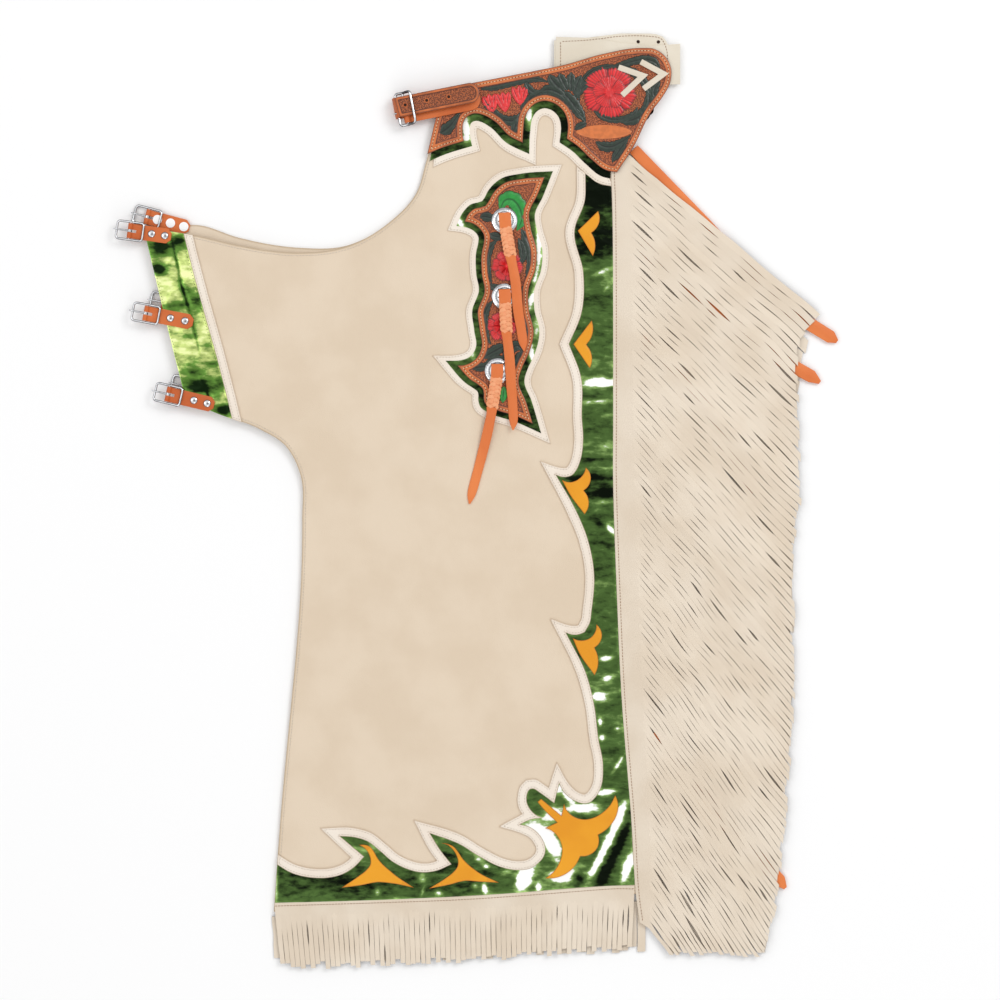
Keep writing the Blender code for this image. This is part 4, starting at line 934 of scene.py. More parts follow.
# Spots of painted highlight and painted shade on the foil, as its folds would catch the light; columns: x,
# y, half length, half width, turn in degrees, light
PAINTED_FOIL_SHEEN = (
    (137, 345, 34, 30, 0, -1.0),
    (137, 285, 30, 24, 0, -0.65),
    (140, 254, 10, 2.6, 24, 0.6),
    (145, 236, 6, 2.0, 40, 0.6),
    (133, 205, 20, 10, 0, 0.1),
    (137, 131, 22, 5, 2, 1.9),
    (134, 110, 18, 2.4, 5, 1.0),
    (142, 96, 10, 4, 0, 0.35),
    (141, 62, 11, 4, -10, 0.45),
    (137, 47, 30, 2.6, 0, -0.7),
    (137, 28, 30, 4.5, 0, -0.7),
    (142, 11, 26, 9, 0, -1.0),
    (112, 20, 9, 8, 0, -0.9),
    (137, 37, 22, 1.6, 3, 0.5),
    (139, 0, 24, 3.0, 2, 0.7),
    (148, -30, 8, 3.2, -50, 1.4),
    (134, -22, 12, 6, -35, -0.6),
    (142, -53, 13, 1.8, -12, 0.5),
    (140, -72, 14, 6, 0, -0.4),
    (140, -92, 16, 9, 0, 0.15),
    (139, -120, 16, 6, 10, -0.3),
    (143, -172, 7, 3, 6, 1.3),
    (145, -194, 8, 2.6, 16, 1.2),
    (135, -214, 7, 4.5, 0, 1.6),
    (146, -226, 10, 5, 20, -0.3),
    (137, -242, 2.4, 5, 0, 1.2),
    (156, -249, 3, 1.8, 0, 1.0),
    (139, -259, 3.4, 3.4, 0, 1.4),
    (148, -275, 10, 6, 0, -0.3),
    (157, -288, 11, 2.0, 58, 1.1),
    (144, -319, 11, 3.2, 6, 1.6),
    (158, -343, 14, 4, 66, 1.7),
    (142, -381, 40, 4, 63, 1.9),
    (167, -402, 20, 4.6, 72, 1.6),
    (160, -374, 30, 5, 67, -1.2),
    (141, -410, 14, 5, 62, -1.1),
    (113, -412, 10, 6, -60, -0.9),
    (66, -361, 16, 9, -10, 1.8),
    (85, -378, 15, 8, -60, 1.8),
    (98, -408, 16, 9, 20, 1.6),
    (86, -344, 11, 7, 0, 1.5),
    (119, -337, 18, 5, 0, 1.6),
    (102, -324, 9, 4, -50, 1.4),
    (92, -316, 6, 3, 60, 1.3),
    (55, -415, 6, 9, 0, 1.5),
    (-150, -420, 70, 25, 0, -0.45),
    (-30, -395, 60, 14, -20, -0.35),
    (-108, -429, 3.4, 3.4, 0, 1.2),
    (-59, -414, 6.5, 7, 0, 0.95),
    (-58, -428, 1.6, 7, -15, 0.9),
    (-41, -430, 5, 3, 0, 1.3),
    (3, -392, 8, 3.5, -50, 0.9),
    (12, -401, 4, 3, 0, 0.9),
    (10, -425, 2.6, 6, 8, 1.5),
    (-1, -422, 3, 2.4, 0, 1.0),
    (34, -407, 7, 5, 0, 0.7),
    (50, -417, 6, 11, -15, 1.6),
    (69, -424, 3, 5, 0, 1.4),
    (61, -402, 9, 7, 0, 1.1),
    (-219, -422, 2.0, 22, 0, 0.9),
    (-346, 279, 10, 8, 0, -1.7),
    (-327, 285, 9, 9, 0, -1.2),
    (-348, 256, 8, 6, 0, -1.8),
    (-318, 234, 15, 6, -42, -0.8),
    (-332, 215, 15, 3.6, 4, -0.8),
    (-305, 221, 8, 8, 0, -0.7),
    (-314, 182, 8, 3.2, 0, -0.7),
    (-295, 171, 6, 6, 0, -0.7),
    (-290, 150, 10, 4, 12, -0.9),
    (-311, 143, 14, 5, -10, -0.9),
    (-303, 127, 18, 9, -12, -1.5),
    (-276, 101, 9, 6, 0, -1.7),
    (-279, 132, 8, 6, 0, -0.8),
    (-328, 263, 19, 1.5, -78, -1.0),
    (-320, 228, 18, 1.7, -72, -1.0),
    (-309, 189, 22, 1.5, -76, -0.9),
    (-294, 118, 14, 1.5, -68, -0.9),
    (-10, 408, 5, 16, 8, 1.9),
    (59, 424, 4, 13, 0, 1.7),
    (60, 440, 6, 4, 40, 0.8),
    (-22, 397, 12, 4, 15, 0.8),
    (70, 283, 4, 22, 0, 1.6),
    (66, 248, 3, 14, -12, 1.2),
    (62, 222, 4, 12, -20, 1.7),
    (67, 190, 4, 12, 0, 0.8),
    (61, 165, 4, 22, 14, 1.6),
    (-16, 306, 8, 4, -50, 1.4),
    (-3, 162, 4, 10, 20, 0.8),
)


def make_painted_sheen(piece, base):
    """Keep on each point of the foil how much painted light or shade it gets."""
    places = np.array([tuple(TO_TABLE @ point.co)[:2] for point in piece.data.vertices])
    painted_sheen = np.full(len(places), base)
    for x, y, long, wide, turn, light in PAINTED_FOIL_SHEEN:
        cos, sin = math.cos(math.radians(turn)), math.sin(math.radians(turn))
        off = places - (x, y)
        along, across = off[:, 0] * cos + off[:, 1] * sin, off[:, 1] * cos - off[:, 0] * sin
        painted_sheen += light * np.exp(-((along / long) ** 2) - (across / wide) ** 2)
    piece.data.attributes.new("painted_sheen", "FLOAT", "POINT").data.foreach_set("value", painted_sheen)


def declare(node):
    """Measure a flat piece's outline, its width and length in metres; nothing is kept of it."""
    corners = CUTS[node].corners
    following = np.roll(corners, -1, axis=0)
    width, length = [round(float(side) * MM, 3) for side in np.ptp(corners, axis=0)]


def declare_sheets():
    """The panels of leather lie flat; this lists the bands, leaves and fringes sewn to a leg and measures
    the panels' outlines, but keeps neither.
    """
    sewn_on = ["edge_trim_skin", "cuff_trim_skin", "edge_foil_skin", "cuff_foil_skin"]
    sewn_on += ["yoke_trim_skin", "yoke_foil_skin", "badge_trim_skin", "badge_foil_skin"]
    sewn_on += [f"gold_leaf_{number}_skin" for number in range(1, 8)]
    sewn_on += ["side_fringe_strands", "hem_fringe_strands"]
    declare("leg_upper")
    declare("leg_under")
    declare("under_yoke")
    declare("yoke")
    declare("badge")


def floor_level(x, y):
    return 0.0


def tooled_top(level):
    """A smooth border with a bevelled inner edge, and the ground beaten down inside it."""

    def top(x, y, rim):
        inside = smooth_step((rim - TOOLED_BORDER + 0.4) / 1.2)
        bead = 0.18 * band(rim, TOOLED_BORDER - 1.0, 0.7)
        seam = 0.2 * band(rim, 3.0, 0.7)
        return lay(x, y) + level - GROUND_SINK * inside + bead - seam - rounded_edge(rim, 1.1, 0.6)

    return top


# The flat pieces; columns: node, finish, slot, upper face, thickness, pitch of points, step along the edge
FLAT_PIECES = [
    ("leg_upper", PANEL_CREAM, "cream_leather", flat_top(PANEL_TOP), 1.5, 7.0, 2.0),
    ("leg_under", PANEL_CREAM, "cream_leather", flat_top(PANEL_TOP, floor_level), 1.5, 14.0, 2.0),
    ("under_yoke", BILLET_TAN, "tooled_leather", flat_top(PANEL_TOP, floor_level), 1.5, 8.0, 2.0),
    ("edge_trim", TRIM_PALE, "pale_leather", padded_top(TRIM_TOP), 1.5, 2.0, 2.0),
    ("cuff_trim", TRIM_PALE, "pale_leather", padded_top(TRIM_TOP), 1.5, 2.0, 2.0),
    ("yoke_trim", TRIM_PALE, "pale_leather", padded_top(UNDERLAY_TOP), 1.0, 2.2, 2.0),
    ("badge_trim", TRIM_PALE, "pale_leather", padded_top(UNDERLAY_TOP), 1.0, 2.2, 2.0),
    ("edge_foil", FOIL_GREEN, "green_foil", foil_top(FOIL_TOP), 0.6, 2.2, 2.0),
    ("cuff_foil", FOIL_CUFF, "green_foil", foil_top(FOIL_TOP, CUFF_CREASES, 0.9), 0.6, 1.6, 2.0),
    ("yoke_foil", FOIL_GREEN, "green_foil", foil_top(UNDERLAY_FOIL_TOP, depth=0.3), 0.5, 2.0, 2.0),
    ("badge_foil", FOIL_GREEN, "green_foil", foil_top(UNDERLAY_FOIL_TOP, depth=0.3), 0.5, 2.0, 2.0),
]
for number in range(1, 8):
    FLAT_PIECES.append((f"gold_leaf_{number}", GOLD, "gold_leather", flat_top(GOLD_TOP), 1.0, 2.5, 1.5))
FLAT_PIECES += [
    ("yoke", TOOLED_TAN, "tooled_leather", tooled_top(YOKE_TOP), 2.2, 1.5, 1.2),
    ("badge", TOOLED_TAN, "tooled_leather", tooled_top(BADGE_TOP), 1.7, 1.5, 1.2),
]


def make_flat_pieces():
    """Replace each flat node with a finer sheet on its outline."""
    for node, finish, slot, top, thickness, pitch, step in FLAT_PIECES:
        CUTS[node], TOPS[node] = Cut(outline_of(node), step), top
        piece = sheet(f"{node}_skin", CUTS[node], pitch, top, thickness)
        hand_over(piece, finish, slot, node)
        if node in FOIL_BASE:
            make_painted_sheen(piece, FOIL_BASE[node])


# Carved leaves and flowers

# Leaves on the yoke; columns: x, y, width
YOKE_LEAVES = (
    ((-17, 429, 2.5), (-22, 421, 5.5), (-28, 413, 9.5), (-34, 408, 11), (-39, 405, 6)),
    ((6, 453, 5), (14, 456, 9), (27, 458.5, 9), (41, 462, 9), (55, 465, 9), (68, 464.5, 6), (81, 461, 3)),
    ((8, 446, 3), (13, 435, 6), (20, 428, 7), (29, 421, 8), (39, 418.5, 9), (47, 422, 8), (52, 430, 5)),
    ((47, 423, 4), (44, 414, 8), (42, 408, 6), (41, 404, 2)),
    ((52, 424, 4), (54, 435, 7), (61, 444, 7), (71, 449, 6), (83, 448, 3)),
    ((55, 462, 3), (58, 455, 7), (64, 450, 6), (73, 452, 3)),
    ((121, 417, 4), (114, 428, 9), (107, 438, 11), (100, 446, 9), (92, 452, 4)),
    ((104, 435, 4), (95, 441, 7.5), (87, 446, 7), (79, 450, 3)),
    ((99, 444, 5), (90, 450, 9), (80, 453, 9), (69, 450, 4)),
    ((98, 450, 5), (90, 457, 9.5), (84, 464, 9), (81, 470, 4)),
    ((101, 452, 5), (97, 460, 8.5), (94, 466, 7.5), (92, 471, 4)),
    ((105, 451, 5), (105, 460, 8.5), (105, 467, 7.5), (105, 472, 4)),
    ((108, 448, 4), (111, 457, 7.5), (114, 464, 7), (116, 469, 3)),
    ((109, 442, 4), (114, 451, 7), (121, 458, 7), (127, 463, 3)),
    ((116, 428, 4), (112, 432, 5), (109, 434, 3)),
    ((119, 422, 4), (113, 425, 6), (109, 425, 3)),
    ((122, 416, 4), (115, 413, 7), (109, 409, 3)),
    ((114, 437, 2.5), (114, 452, 3.5), (119, 465, 4), (129, 474, 4.5), (143, 478, 5), (157, 479, 4)),
    ((147, 477, 3), (160, 480, 6), (173, 484, 7), (186, 486, 8), (197, 483, 8), (203, 475, 4)),
    ((165, 479, 4), (175, 471, 8), (184, 463, 8), (190, 452, 6), (193, 443, 3)),
    ((203, 462, 3), (198, 456, 7), (196, 449, 8), (199, 442, 4)),
    ((188, 454, 4), (191, 443, 9), (189, 432, 11), (180, 423, 11), (167, 418.5, 8), (154, 420, 3)),
    ((178, 434, 3), (174, 426, 6), (164, 421, 6), (150, 420, 6), (138, 424, 6), (129, 431, 3)),
    ((171, 403, 2.5), (161, 396, 6), (150, 390.5, 9), (140, 391, 9), (132, 396, 5)),
    ((168, 400, 2.5), (160, 389, 7), (154, 380, 7), (150, 373, 3)),
)

# Leaves on the badge; columns: x, y, width
BADGE_LEAVES = (
    ((5, 313, 4), (10, 313.5, 8.5), (16, 312.5, 8), (23, 311, 4)),
    ((15, 295, 3), (21, 292, 8), (28, 291, 6), (34, 292, 3)),
    ((50, 300, 4), (55, 291, 9), (60, 278, 10), (61, 263, 8), (58, 248, 6), (54, 239, 3)),
    ((47, 290, 3), (51, 279, 7), (52, 268, 6), (49, 260, 3)),
    ((24, 288, 3), (16.5, 280, 7), (12.5, 266, 7), (14, 251, 6), (18, 240, 3)),
    ((16, 240, 3), (20, 236, 7), (27, 235, 6), (33, 238, 3)),
    ((58, 243, 3), (55, 236, 6), (50, 231, 3)),
    ((19, 221, 3), (12, 212, 7), (9, 198, 8), (11, 184, 7), (17, 173, 3)),
    ((55, 214, 3), (57, 202, 7), (55, 188, 7), (50, 177, 3)),
    ((8, 158, 4), (16, 163, 9), (25, 168, 10), (34, 173, 4)),
    ((30, 160, 4), (38, 167, 9), (46, 172, 9), (53, 165, 4)),
    ((42, 148, 4), (47, 157, 9), (51, 166, 4)),
    ((-3, 146, 4), (3, 148, 8), (11, 149, 7), (19, 153, 3)),
    ((10, 152, 3), (20, 156, 7), (31, 157, 6), (41, 155, 3)),
)
GREEN_LEAVES = (
    ((27, 321, 6), (32, 331, 13), (41, 332, 15), (49, 322, 14), (50.5, 309, 11), (45.5, 298, 4)),
    ((31.5, 127, 4), (30.5, 118, 8), (30, 109, 3)),
)

# Buds on the yoke; columns: x and y of the root, length, direction of each petal
BUDS = (
    (19, 427, 22, (121, 103, 84)),
    (33, 428, 23, (116, 99, 81)),
    (49.5, 436, 22, (114, 94, 73)),
)

PETAL_WIDTH = 8.5

# The open flowers; columns: x, y, radius, petals
YOKE_FLOWER = (147, 450, 27.5, 5)
BADGE_FLOWERS = ((35, 259, 16.5, 6), (29, 193, 15.5, 6))

# A plain raised oval; columns: x, y, half length, half width
YOKE_OVAL = (141, 406.5, 31, 7.8)

# How much wider than its row a leaf spreads
LEAF_SPREAD = 1.25

# How high each carved form stands over its ground, and how far it reaches down into it
LEAF_RISE = 0.9
PETAL_RISE = 1.0
BLOOM_RISE = 1.2
OVAL_RISE = 0.5
CARVED_ROOT = 0.3

# Across a leaf; columns: share of half width, how high the carving stands
LEAF_PROFILE = (
    (-1, 0),
    (-0.88, 0.62),
    (-0.6, 1),
    (-0.22, 0.8),
    (0, 0.3),
    (0.22, 0.8),
    (0.6, 1),
    (0.88, 0.62),
    (1, 0),
)

# From a flower's edge to its middle; a negative share is the skirt under its edge
BLOOM_STEPS = (-1, 1, 0.97, 0.9, 0.8, 0.7, 0.58, 0.45, 0.32, 0.2, 0.1, 0.02)

# From the oval's edge to its middle; columns: share of its reach, share of its rise
OVAL_STEPS = ((1.0, -0.3), (1.0, 0.2), (0.97, 0.85), (0.93, 1.0), (0.9, 0.8), (0.86, 0.8), (0.02, 0.85))


class Carving:
    """Raised shapes of one colour on one piece of tooled leather."""

    def __init__(self, node, level):
        self.level = level - GROUND_SINK
        self.rim = CUTS[node].rim
        self.heap = Heap("crest")

    def ground(self, x, y):
        return lay(x, y) + self.level

    def room(self, x, y):
        """Full inside the border and nothing under it."""
        return smooth_step((self.rim(x, y) - TOOLED_BORDER + 0.3) / 0.7)

    def leaf(self, rows, rise=LEAF_RISE, lobes=7.0, frill=0.16):
        """A leaf along rows of x, y and width: a vein down its middle, and lobes with slanting cuts."""
        spots = drawn(rows, 1.0)
        places, crests = [], []
        for k, ((x, y, width), way) in enumerate(zip(spots, headings(spots))):
            share = k / (len(spots) - 1)
            tips = min(1.0, 5 * share + 0.1, 5 * (1 - share) + 0.02) ** 0.5
            run = k / lobes
            half = width / 2 * tips * (1 + frill * (abs(math.sin(math.pi * run)) - 0.6))
            low = self.ground(x, y)
            for across, up in LEAF_PROFILE:
                cut = abs(math.sin(math.pi * (run - 0.55 * abs(across)))) ** 0.5
                crest = up * (0.45 + 0.55 * cut) if abs(across) > 0.3 else up
                spot = beside(x, y, way, across * half)
                stands = self.room(*spot) * (0.32 + rise * crest * tips)
                places.append((*spot, low - CARVED_ROOT + stands))
                crests.append(crest)
            for across in (1, -1):
                places.append((*beside(x, y, way, across * half), low - CARVED_ROOT))
                crests.append(0.0)
        self.heap.add(*loft(in_rings(places, len(LEAF_PROFILE) + 2)), value=crests)

    def petal(self, x, y, turn, length):
        """A smooth bud petal with fewer cuts than a leaf."""
        way = Vector((math.cos(math.radians(turn)), math.sin(math.radians(turn))))
        rows = []
        for share, part in ((0, 0.3), (0.3, 0.85), (0.6, 1.0), (0.85, 0.75), (1, 0.25)):
            rows.append((x + way.x * length * share, y + way.y * length * share, PETAL_WIDTH * part))
        self.leaf(rows, PETAL_RISE, lobes=4.5, frill=0.1)

    def bloom(self, x, y, radius, petals):
        """An open flower in two layers: each petal fluted and frilled, with its neighbours behind it."""
        sides = petals * 26
        for layer, reach in enumerate((1.0, 0.64)):
            rings, crests = [], []
            for share in BLOOM_STEPS:
                ring = []
                for k in range(sides):
                    angle = math.tau * k / sides + 0.4
                    place = (petals * k / sides + layer / 2) % 1 * 2 - 1
                    uneven = noise.noise(Vector((3 * math.cos(angle), 3 * math.sin(angle), x + layer)))
                    flute = 0.5 + 0.5 * math.cos(math.pi * 9 * place + 3 * uneven)
                    frill = 1 + 0.06 * flute + 0.09 * uneven - 0.17 * abs(place) ** 5
                    out = radius * reach * abs(share) * (1 + (frill - 1) * max(share, 0.3))
                    edge = smooth_step((1 - abs(share)) / 0.1)
                    parting = smooth_step((abs(place) - 0.82) / 0.18) * smooth_step(abs(share) / 0.5)
                    fade = smooth_step((abs(share) - 0.06) / 0.3)
                    crest = (1 - 0.62 * (1 - flute) * fade) * (1 - 0.75 * parting) * (0.45 + 0.55 * edge)
                    spot_x, spot_y = x + out * math.cos(angle), y + out * math.sin(angle)
                    low = self.ground(spot_x, spot_y)
                    high = low + BLOOM_RISE * (0.35 + 0.65 * crest) * (0.75 + 0.25 * edge) + 0.6 * layer
                    ring.append((spot_x, spot_y, low - CARVED_ROOT if share < 0 else high))
                    crests.append(0.0 if share < 0 else crest)
                rings.append(ring)
            self.heap.add(*loft(rings), value=crests)

    def plate(self, x, y, half_long, half_wide):
        """A plain oval pointed at both ends, raised over the ground."""
        rings, crests = [], []
        for reach, up in OVAL_STEPS:
            ring = []
            for cos, sin in around(72):
                spot_x, spot_y = x + reach * half_long * cos, y + reach * half_wide * sin * abs(sin) ** 0.25
                ring.append((spot_x, spot_y, self.ground(spot_x, spot_y) + OVAL_RISE * up))
                crests.append(1.0 if up > 0.7 else 0.3)
            rings.append(ring)
        self.heap.add(*loft(rings), value=crests)

    def piece(self, name, material):
        return hand_over(self.heap.piece(name), material, "tooled_leather", angle=70)


# Which leaves are carved where; columns: node, height of its upper face, leaves, finish
LEAF_SETS = (
    ("yoke", YOKE_TOP, YOKE_LEAVES, LEAF_DARK),
    ("badge", BADGE_TOP, BADGE_LEAVES, LEAF_DARK),
    ("badge", BADGE_TOP, GREEN_LEAVES, LEAF_GREEN),
)


def make_carving():
    for node, level, rows_of_set, finish in LEAF_SETS:
        leaves = Carving(node, level)
        for rows in rows_of_set:
            leaves.leaf([(x, y, LEAF_SPREAD * width) for x, y, width in rows])
        leaves.piece(f"{node}_{finish.name}", finish)
    flowers = Carving("yoke", YOKE_TOP)
    flowers.bloom(*YOKE_FLOWER)
    for x, y, length, turns in BUDS:
        for turn in turns:
            flowers.petal(x, y, turn, length)
    flowers.piece("yoke_flowers", FLOWER_RED)
    oval = Carving("yoke", YOKE_TOP)
    oval.plate(*YOKE_OVAL)
    oval.piece("yoke_oval", STEM_TAN)
    flowers = Carving("badge", BADGE_TOP)
    for row in BADGE_FLOWERS:
        flowers.bloom(*row)
    flowers.piece("badge_flowers", FLOWER_RED)


# Sewing

STITCH_PITCH = 3.3
STITCH_LENGTH = 2.5
STITCH_RADIUS = 0.42
STITCH_LIFT = 0.15

# The cuff's foil is sewn along its two long sides, between these heights on the table
CUFF_SEAM_ENDS = (278, 118)


def walk(run, pitch):
    """Places and headings at even steps along a stretch of line."""
    steps, left = [], pitch / 2
    for (start, _), (end, _) in zip(run, run[1:]):
        gap = (end - start).length
        while gap > 0 and left <= gap:
            way = end - start
            steps.append((start.lerp(end, left / gap), math.atan2(way.y, way.x)))
            left += pitch
        left -= gap
    return steps


# Along a stitch; columns: place as a share of its length, share of its radius, how far it sinks in radii
STITCH_STEPS = ((-0.5, 0.3, 0.55), (-0.32, 0.95, 0.05), (0.32, 0.95, 0.05), (0.5, 0.3, 0.55))


def stitch(x, y, z, turn, length):
    """One stitch: a short thread that dips at both ends."""
    way = Vector((math.cos(turn), math.sin(turn)))
    rings = []
    for along, thick, sink in STITCH_STEPS:
        ring = []
        for cos, sin in around(5):
            middle = x + along * length * way.x, y + along * length * way.y
            place = beside(*middle, way, STITCH_RADIUS * thick * cos)
            ring.append((*place, z + STITCH_RADIUS * (thick * sin - sink)))
        rings.append(ring)
    return loft(rings)


def clear_of(*nodes):
    """A test of which spots lie outside all of these pieces."""

    def keep(spots):
        covered = np.zeros(len(spots), bool)
        for node in nodes:
            covered |= CUTS[node].holds(spots)
        return ~covered

    return keep


def steps_along(runs, pitch, keep):
    """Even steps along all the runs, where the test keeps them."""
    steps = [step for run in runs for step in walk(run, pitch)]
    kept = keep(np.array([tuple(spot) for spot, _ in steps]))
    return [step for step, stays in zip(steps, kept) if stays]


def sew(name, runs, level, finish, slot, keep=clear_of(), pitch=STITCH_PITCH, length=STITCH_LENGTH):
    """Stitches along the runs, on a surface whose height is level(x, y)."""
    heap = Heap()
    for (x, y), turn in steps_along(runs, pitch, keep):
        heap.add(*stitch(x, y, level(x, y) + STITCH_LIFT, turn, length))
    hand_over(heap.piece(name), finish, slot)


def dots(name, runs, level, finish, slot, pitch, radius, keep=clear_of()):
    """Round holes or stitch ends, shown as small discs along the runs."""
    heap = Heap()
    for (x, y), _ in steps_along(runs, pitch, keep):
        heap.add(*lathe(((radius, -0.2), (radius, 0.16)), x, y, level(x, y), 8))
    hand_over(heap.piece(name), finish, slot)


def top_of(node):
    """The height of a flat piece's upper face at a place."""
    cut, top = CUTS[node], TOPS[node]
    return lambda x, y: top(x, y, cut.rim(x, y))


# Pieces laid over the upper leg and its bands at the waist
YOKE_LAYERS = ("yoke_trim", "yoke_foil", "yoke")
BANDS = ("cuff_foil", "cuff_trim", "edge_trim", "edge_foil")

# Seams in pale thread; columns: name, sewn piece, distance from its edge, slot, pieces that cover the seam
PALE_SEAMS = (
    ("edge_trim", "edge_trim", 2.0, "pale_leather", YOKE_LAYERS),
    ("cuff_trim", "cuff_trim", 2.0, "pale_leather", ()),
    ("yoke_trim", "yoke_trim", 2.2, "pale_leather", ("yoke_foil", "yoke")),
    ("badge_trim", "badge_trim", 2.0, "pale_leather", ()),
    ("panel", "leg_upper", 3.2, "cream_leather", (*BANDS, *YOKE_LAYERS)),
)

# The cuff's dark stitches, and the tooled pieces' long stitches with their holes
CUFF_INSET = 1.6
CUFF_PITCH = 3.4
CUFF_DOT = 0.42
TOOLED_INSET = 3.0
TOOLED_PITCH = 3.6
TOOLED_STITCH = 2.3
TOOLED_HOLE = 0.55


def along_cuff(spots):
    """Which spots lie between the ends of the cuff's long seams."""
    high, low = CUFF_SEAM_ENDS
    return (spots[:, 1] > low) & (spots[:, 1] < high)


def make_sewing():
    for name, node, inset, slot, covers in PALE_SEAMS:
        runs = CUTS[node].inside_line(inset)
        sew(f"{name}_stitches", runs, top_of(node), THREAD_PALE, slot, clear_of(*covers))
    runs, top = CUTS["cuff_foil"].inside_line(CUFF_INSET), top_of("cuff_foil")
    dots("cuff_stitches", runs, top, STITCH_DARK, "green_foil", CUFF_PITCH, CUFF_DOT, along_cuff)
    for node in ("yoke", "badge"):
        runs, top = CUTS[node].inside_line(TOOLED_INSET), top_of(node)
        sizes = {"pitch": TOOLED_PITCH, "length": TOOLED_STITCH}
        sew(f"{node}_stitches", runs, top, THREAD_CREAM, "pale_leather", **sizes)
        # The stitch holes are dark discs of painted shade
        shifted = [run[4:] for run in runs]
        dots(f"{node}_holes", shifted, top, PAINTED_HOLE_SHADE, "tooled_leather", TOOLED_PITCH, TOOLED_HOLE)


# Fringe

# Lines that the fringe's strips are sewn along, on their side next to the foil; columns: x, y
SIDE_SEAM = (
    (149, 366.5),
    (151, 300),
    (151.5, 100),
    (151.5, 20),
    (155.5, -100),
    (161, -218),
    (171.5, -350),
    (175.5, -421),
    (180.5, -462),
)
HEM_SEAM = ((-221, -441), (-39, -435), (45, -430), (144, -422.5), (174.8, -422))

# Where strands leave their strip and where they end; columns: root x, root y, tip x, tip y
SIDE_STRANDS = (
    (170, 381, 380.5, 205),
    (171, 346, 355, 181),
    (171.6, 288, 354, 115),
    (173, 214, 358, 25),
    (173.3, 107, 349.5, -85),
    (175, 22, 351, -185),
    (178.8, -85, 345, -294),
    (184.3, -220, 333.5, -427),
    (189.8, -309, 319, -498),
    (193, -390, 263, -497),
    (191, -469, 212, -498),
)
HEM_STRANDS = ((-220, -456.5, -214.5, -511.5), (-22.5, -449, -21.5, -505.5), (174.3, -437, 172.7, -488.5))
UNDER_SIDE_STRANDS = (
    (178, 374, 372, 208),
    (180, 288, 352, 117),
    (181, 107, 346, -78),
    (184, 22, 350, -180),
    (192, -220, 331, -420),
    (198, -309, 316, -492),
    (200, -462, 214, -494),
)
UNDER_HEM_STRANDS = ((-224, -463, -222.5, -503), (-39, -457, -38, -500), (187, -445, 187.5, -491))
FRINGE_REST = 3.8
HEM_REST = 3.3
FRINGE_THICKNESS = 1.2

# Lengths over which a strand comes free to sway, rises off the leather and narrows to its tip
SWAY_RUN = 60
RISE_RUN = 50
TIP_RUN = 40

# How far from a strip's edge it is sewn, and how far the under leg's strips reach above their strands
STRIP_INSET = 3.4
UNDER_HEADING = 6

# A strand's cross-section; columns: share of half width, share of thickness, whether light reaches it, where
# 0 paints shade on the strand's sides
STRAND_PROFILE = ((-1, 0, 0), (1, 0, 0), (1, 0.93, 1), (0, 1, 1), (-1, 0.93, 1))


def strand_at(rows, share):
    """Root and tip at a share of the way down the strip."""
    roots = [Vector(row[:2]) for row in rows]
    tips = [Vector(row[2:]) for row in rows]
    lengths = [(b - a).length for a, b in zip(roots, roots[1:])]
    left = share * sum(lengths)
    for i, length in enumerate(lengths):
        if left <= length or i == len(lengths) - 1:
            part = left / length
            return roots[i].lerp(roots[i + 1], part), tips[i].lerp(tips[i + 1], part)
        left -= length


def partings(chance, length, closed, wide):
    """Where two neighbouring strands part: middle, half length and width of each slit."""
    slits, reach = [], chance.uniform(0, 14)
    while reach < length:
        half = chance.uniform(8, 22)
        width = wide * (chance.uniform(0.5, 1.2) if chance.random() < 0.84 else chance.uniform(1.6, 3.6))
        slits.append((reach + half, half, width))
        reach += 2 * half + chance.uniform(1, 2 * closed)
    return slits


def parted(slits, along):
    """How wide two strands stand apart at a place along them."""
    return max([0.0, *[width * (1 - ((along - middle) / half) ** 2) for middle, half, width in slits]])


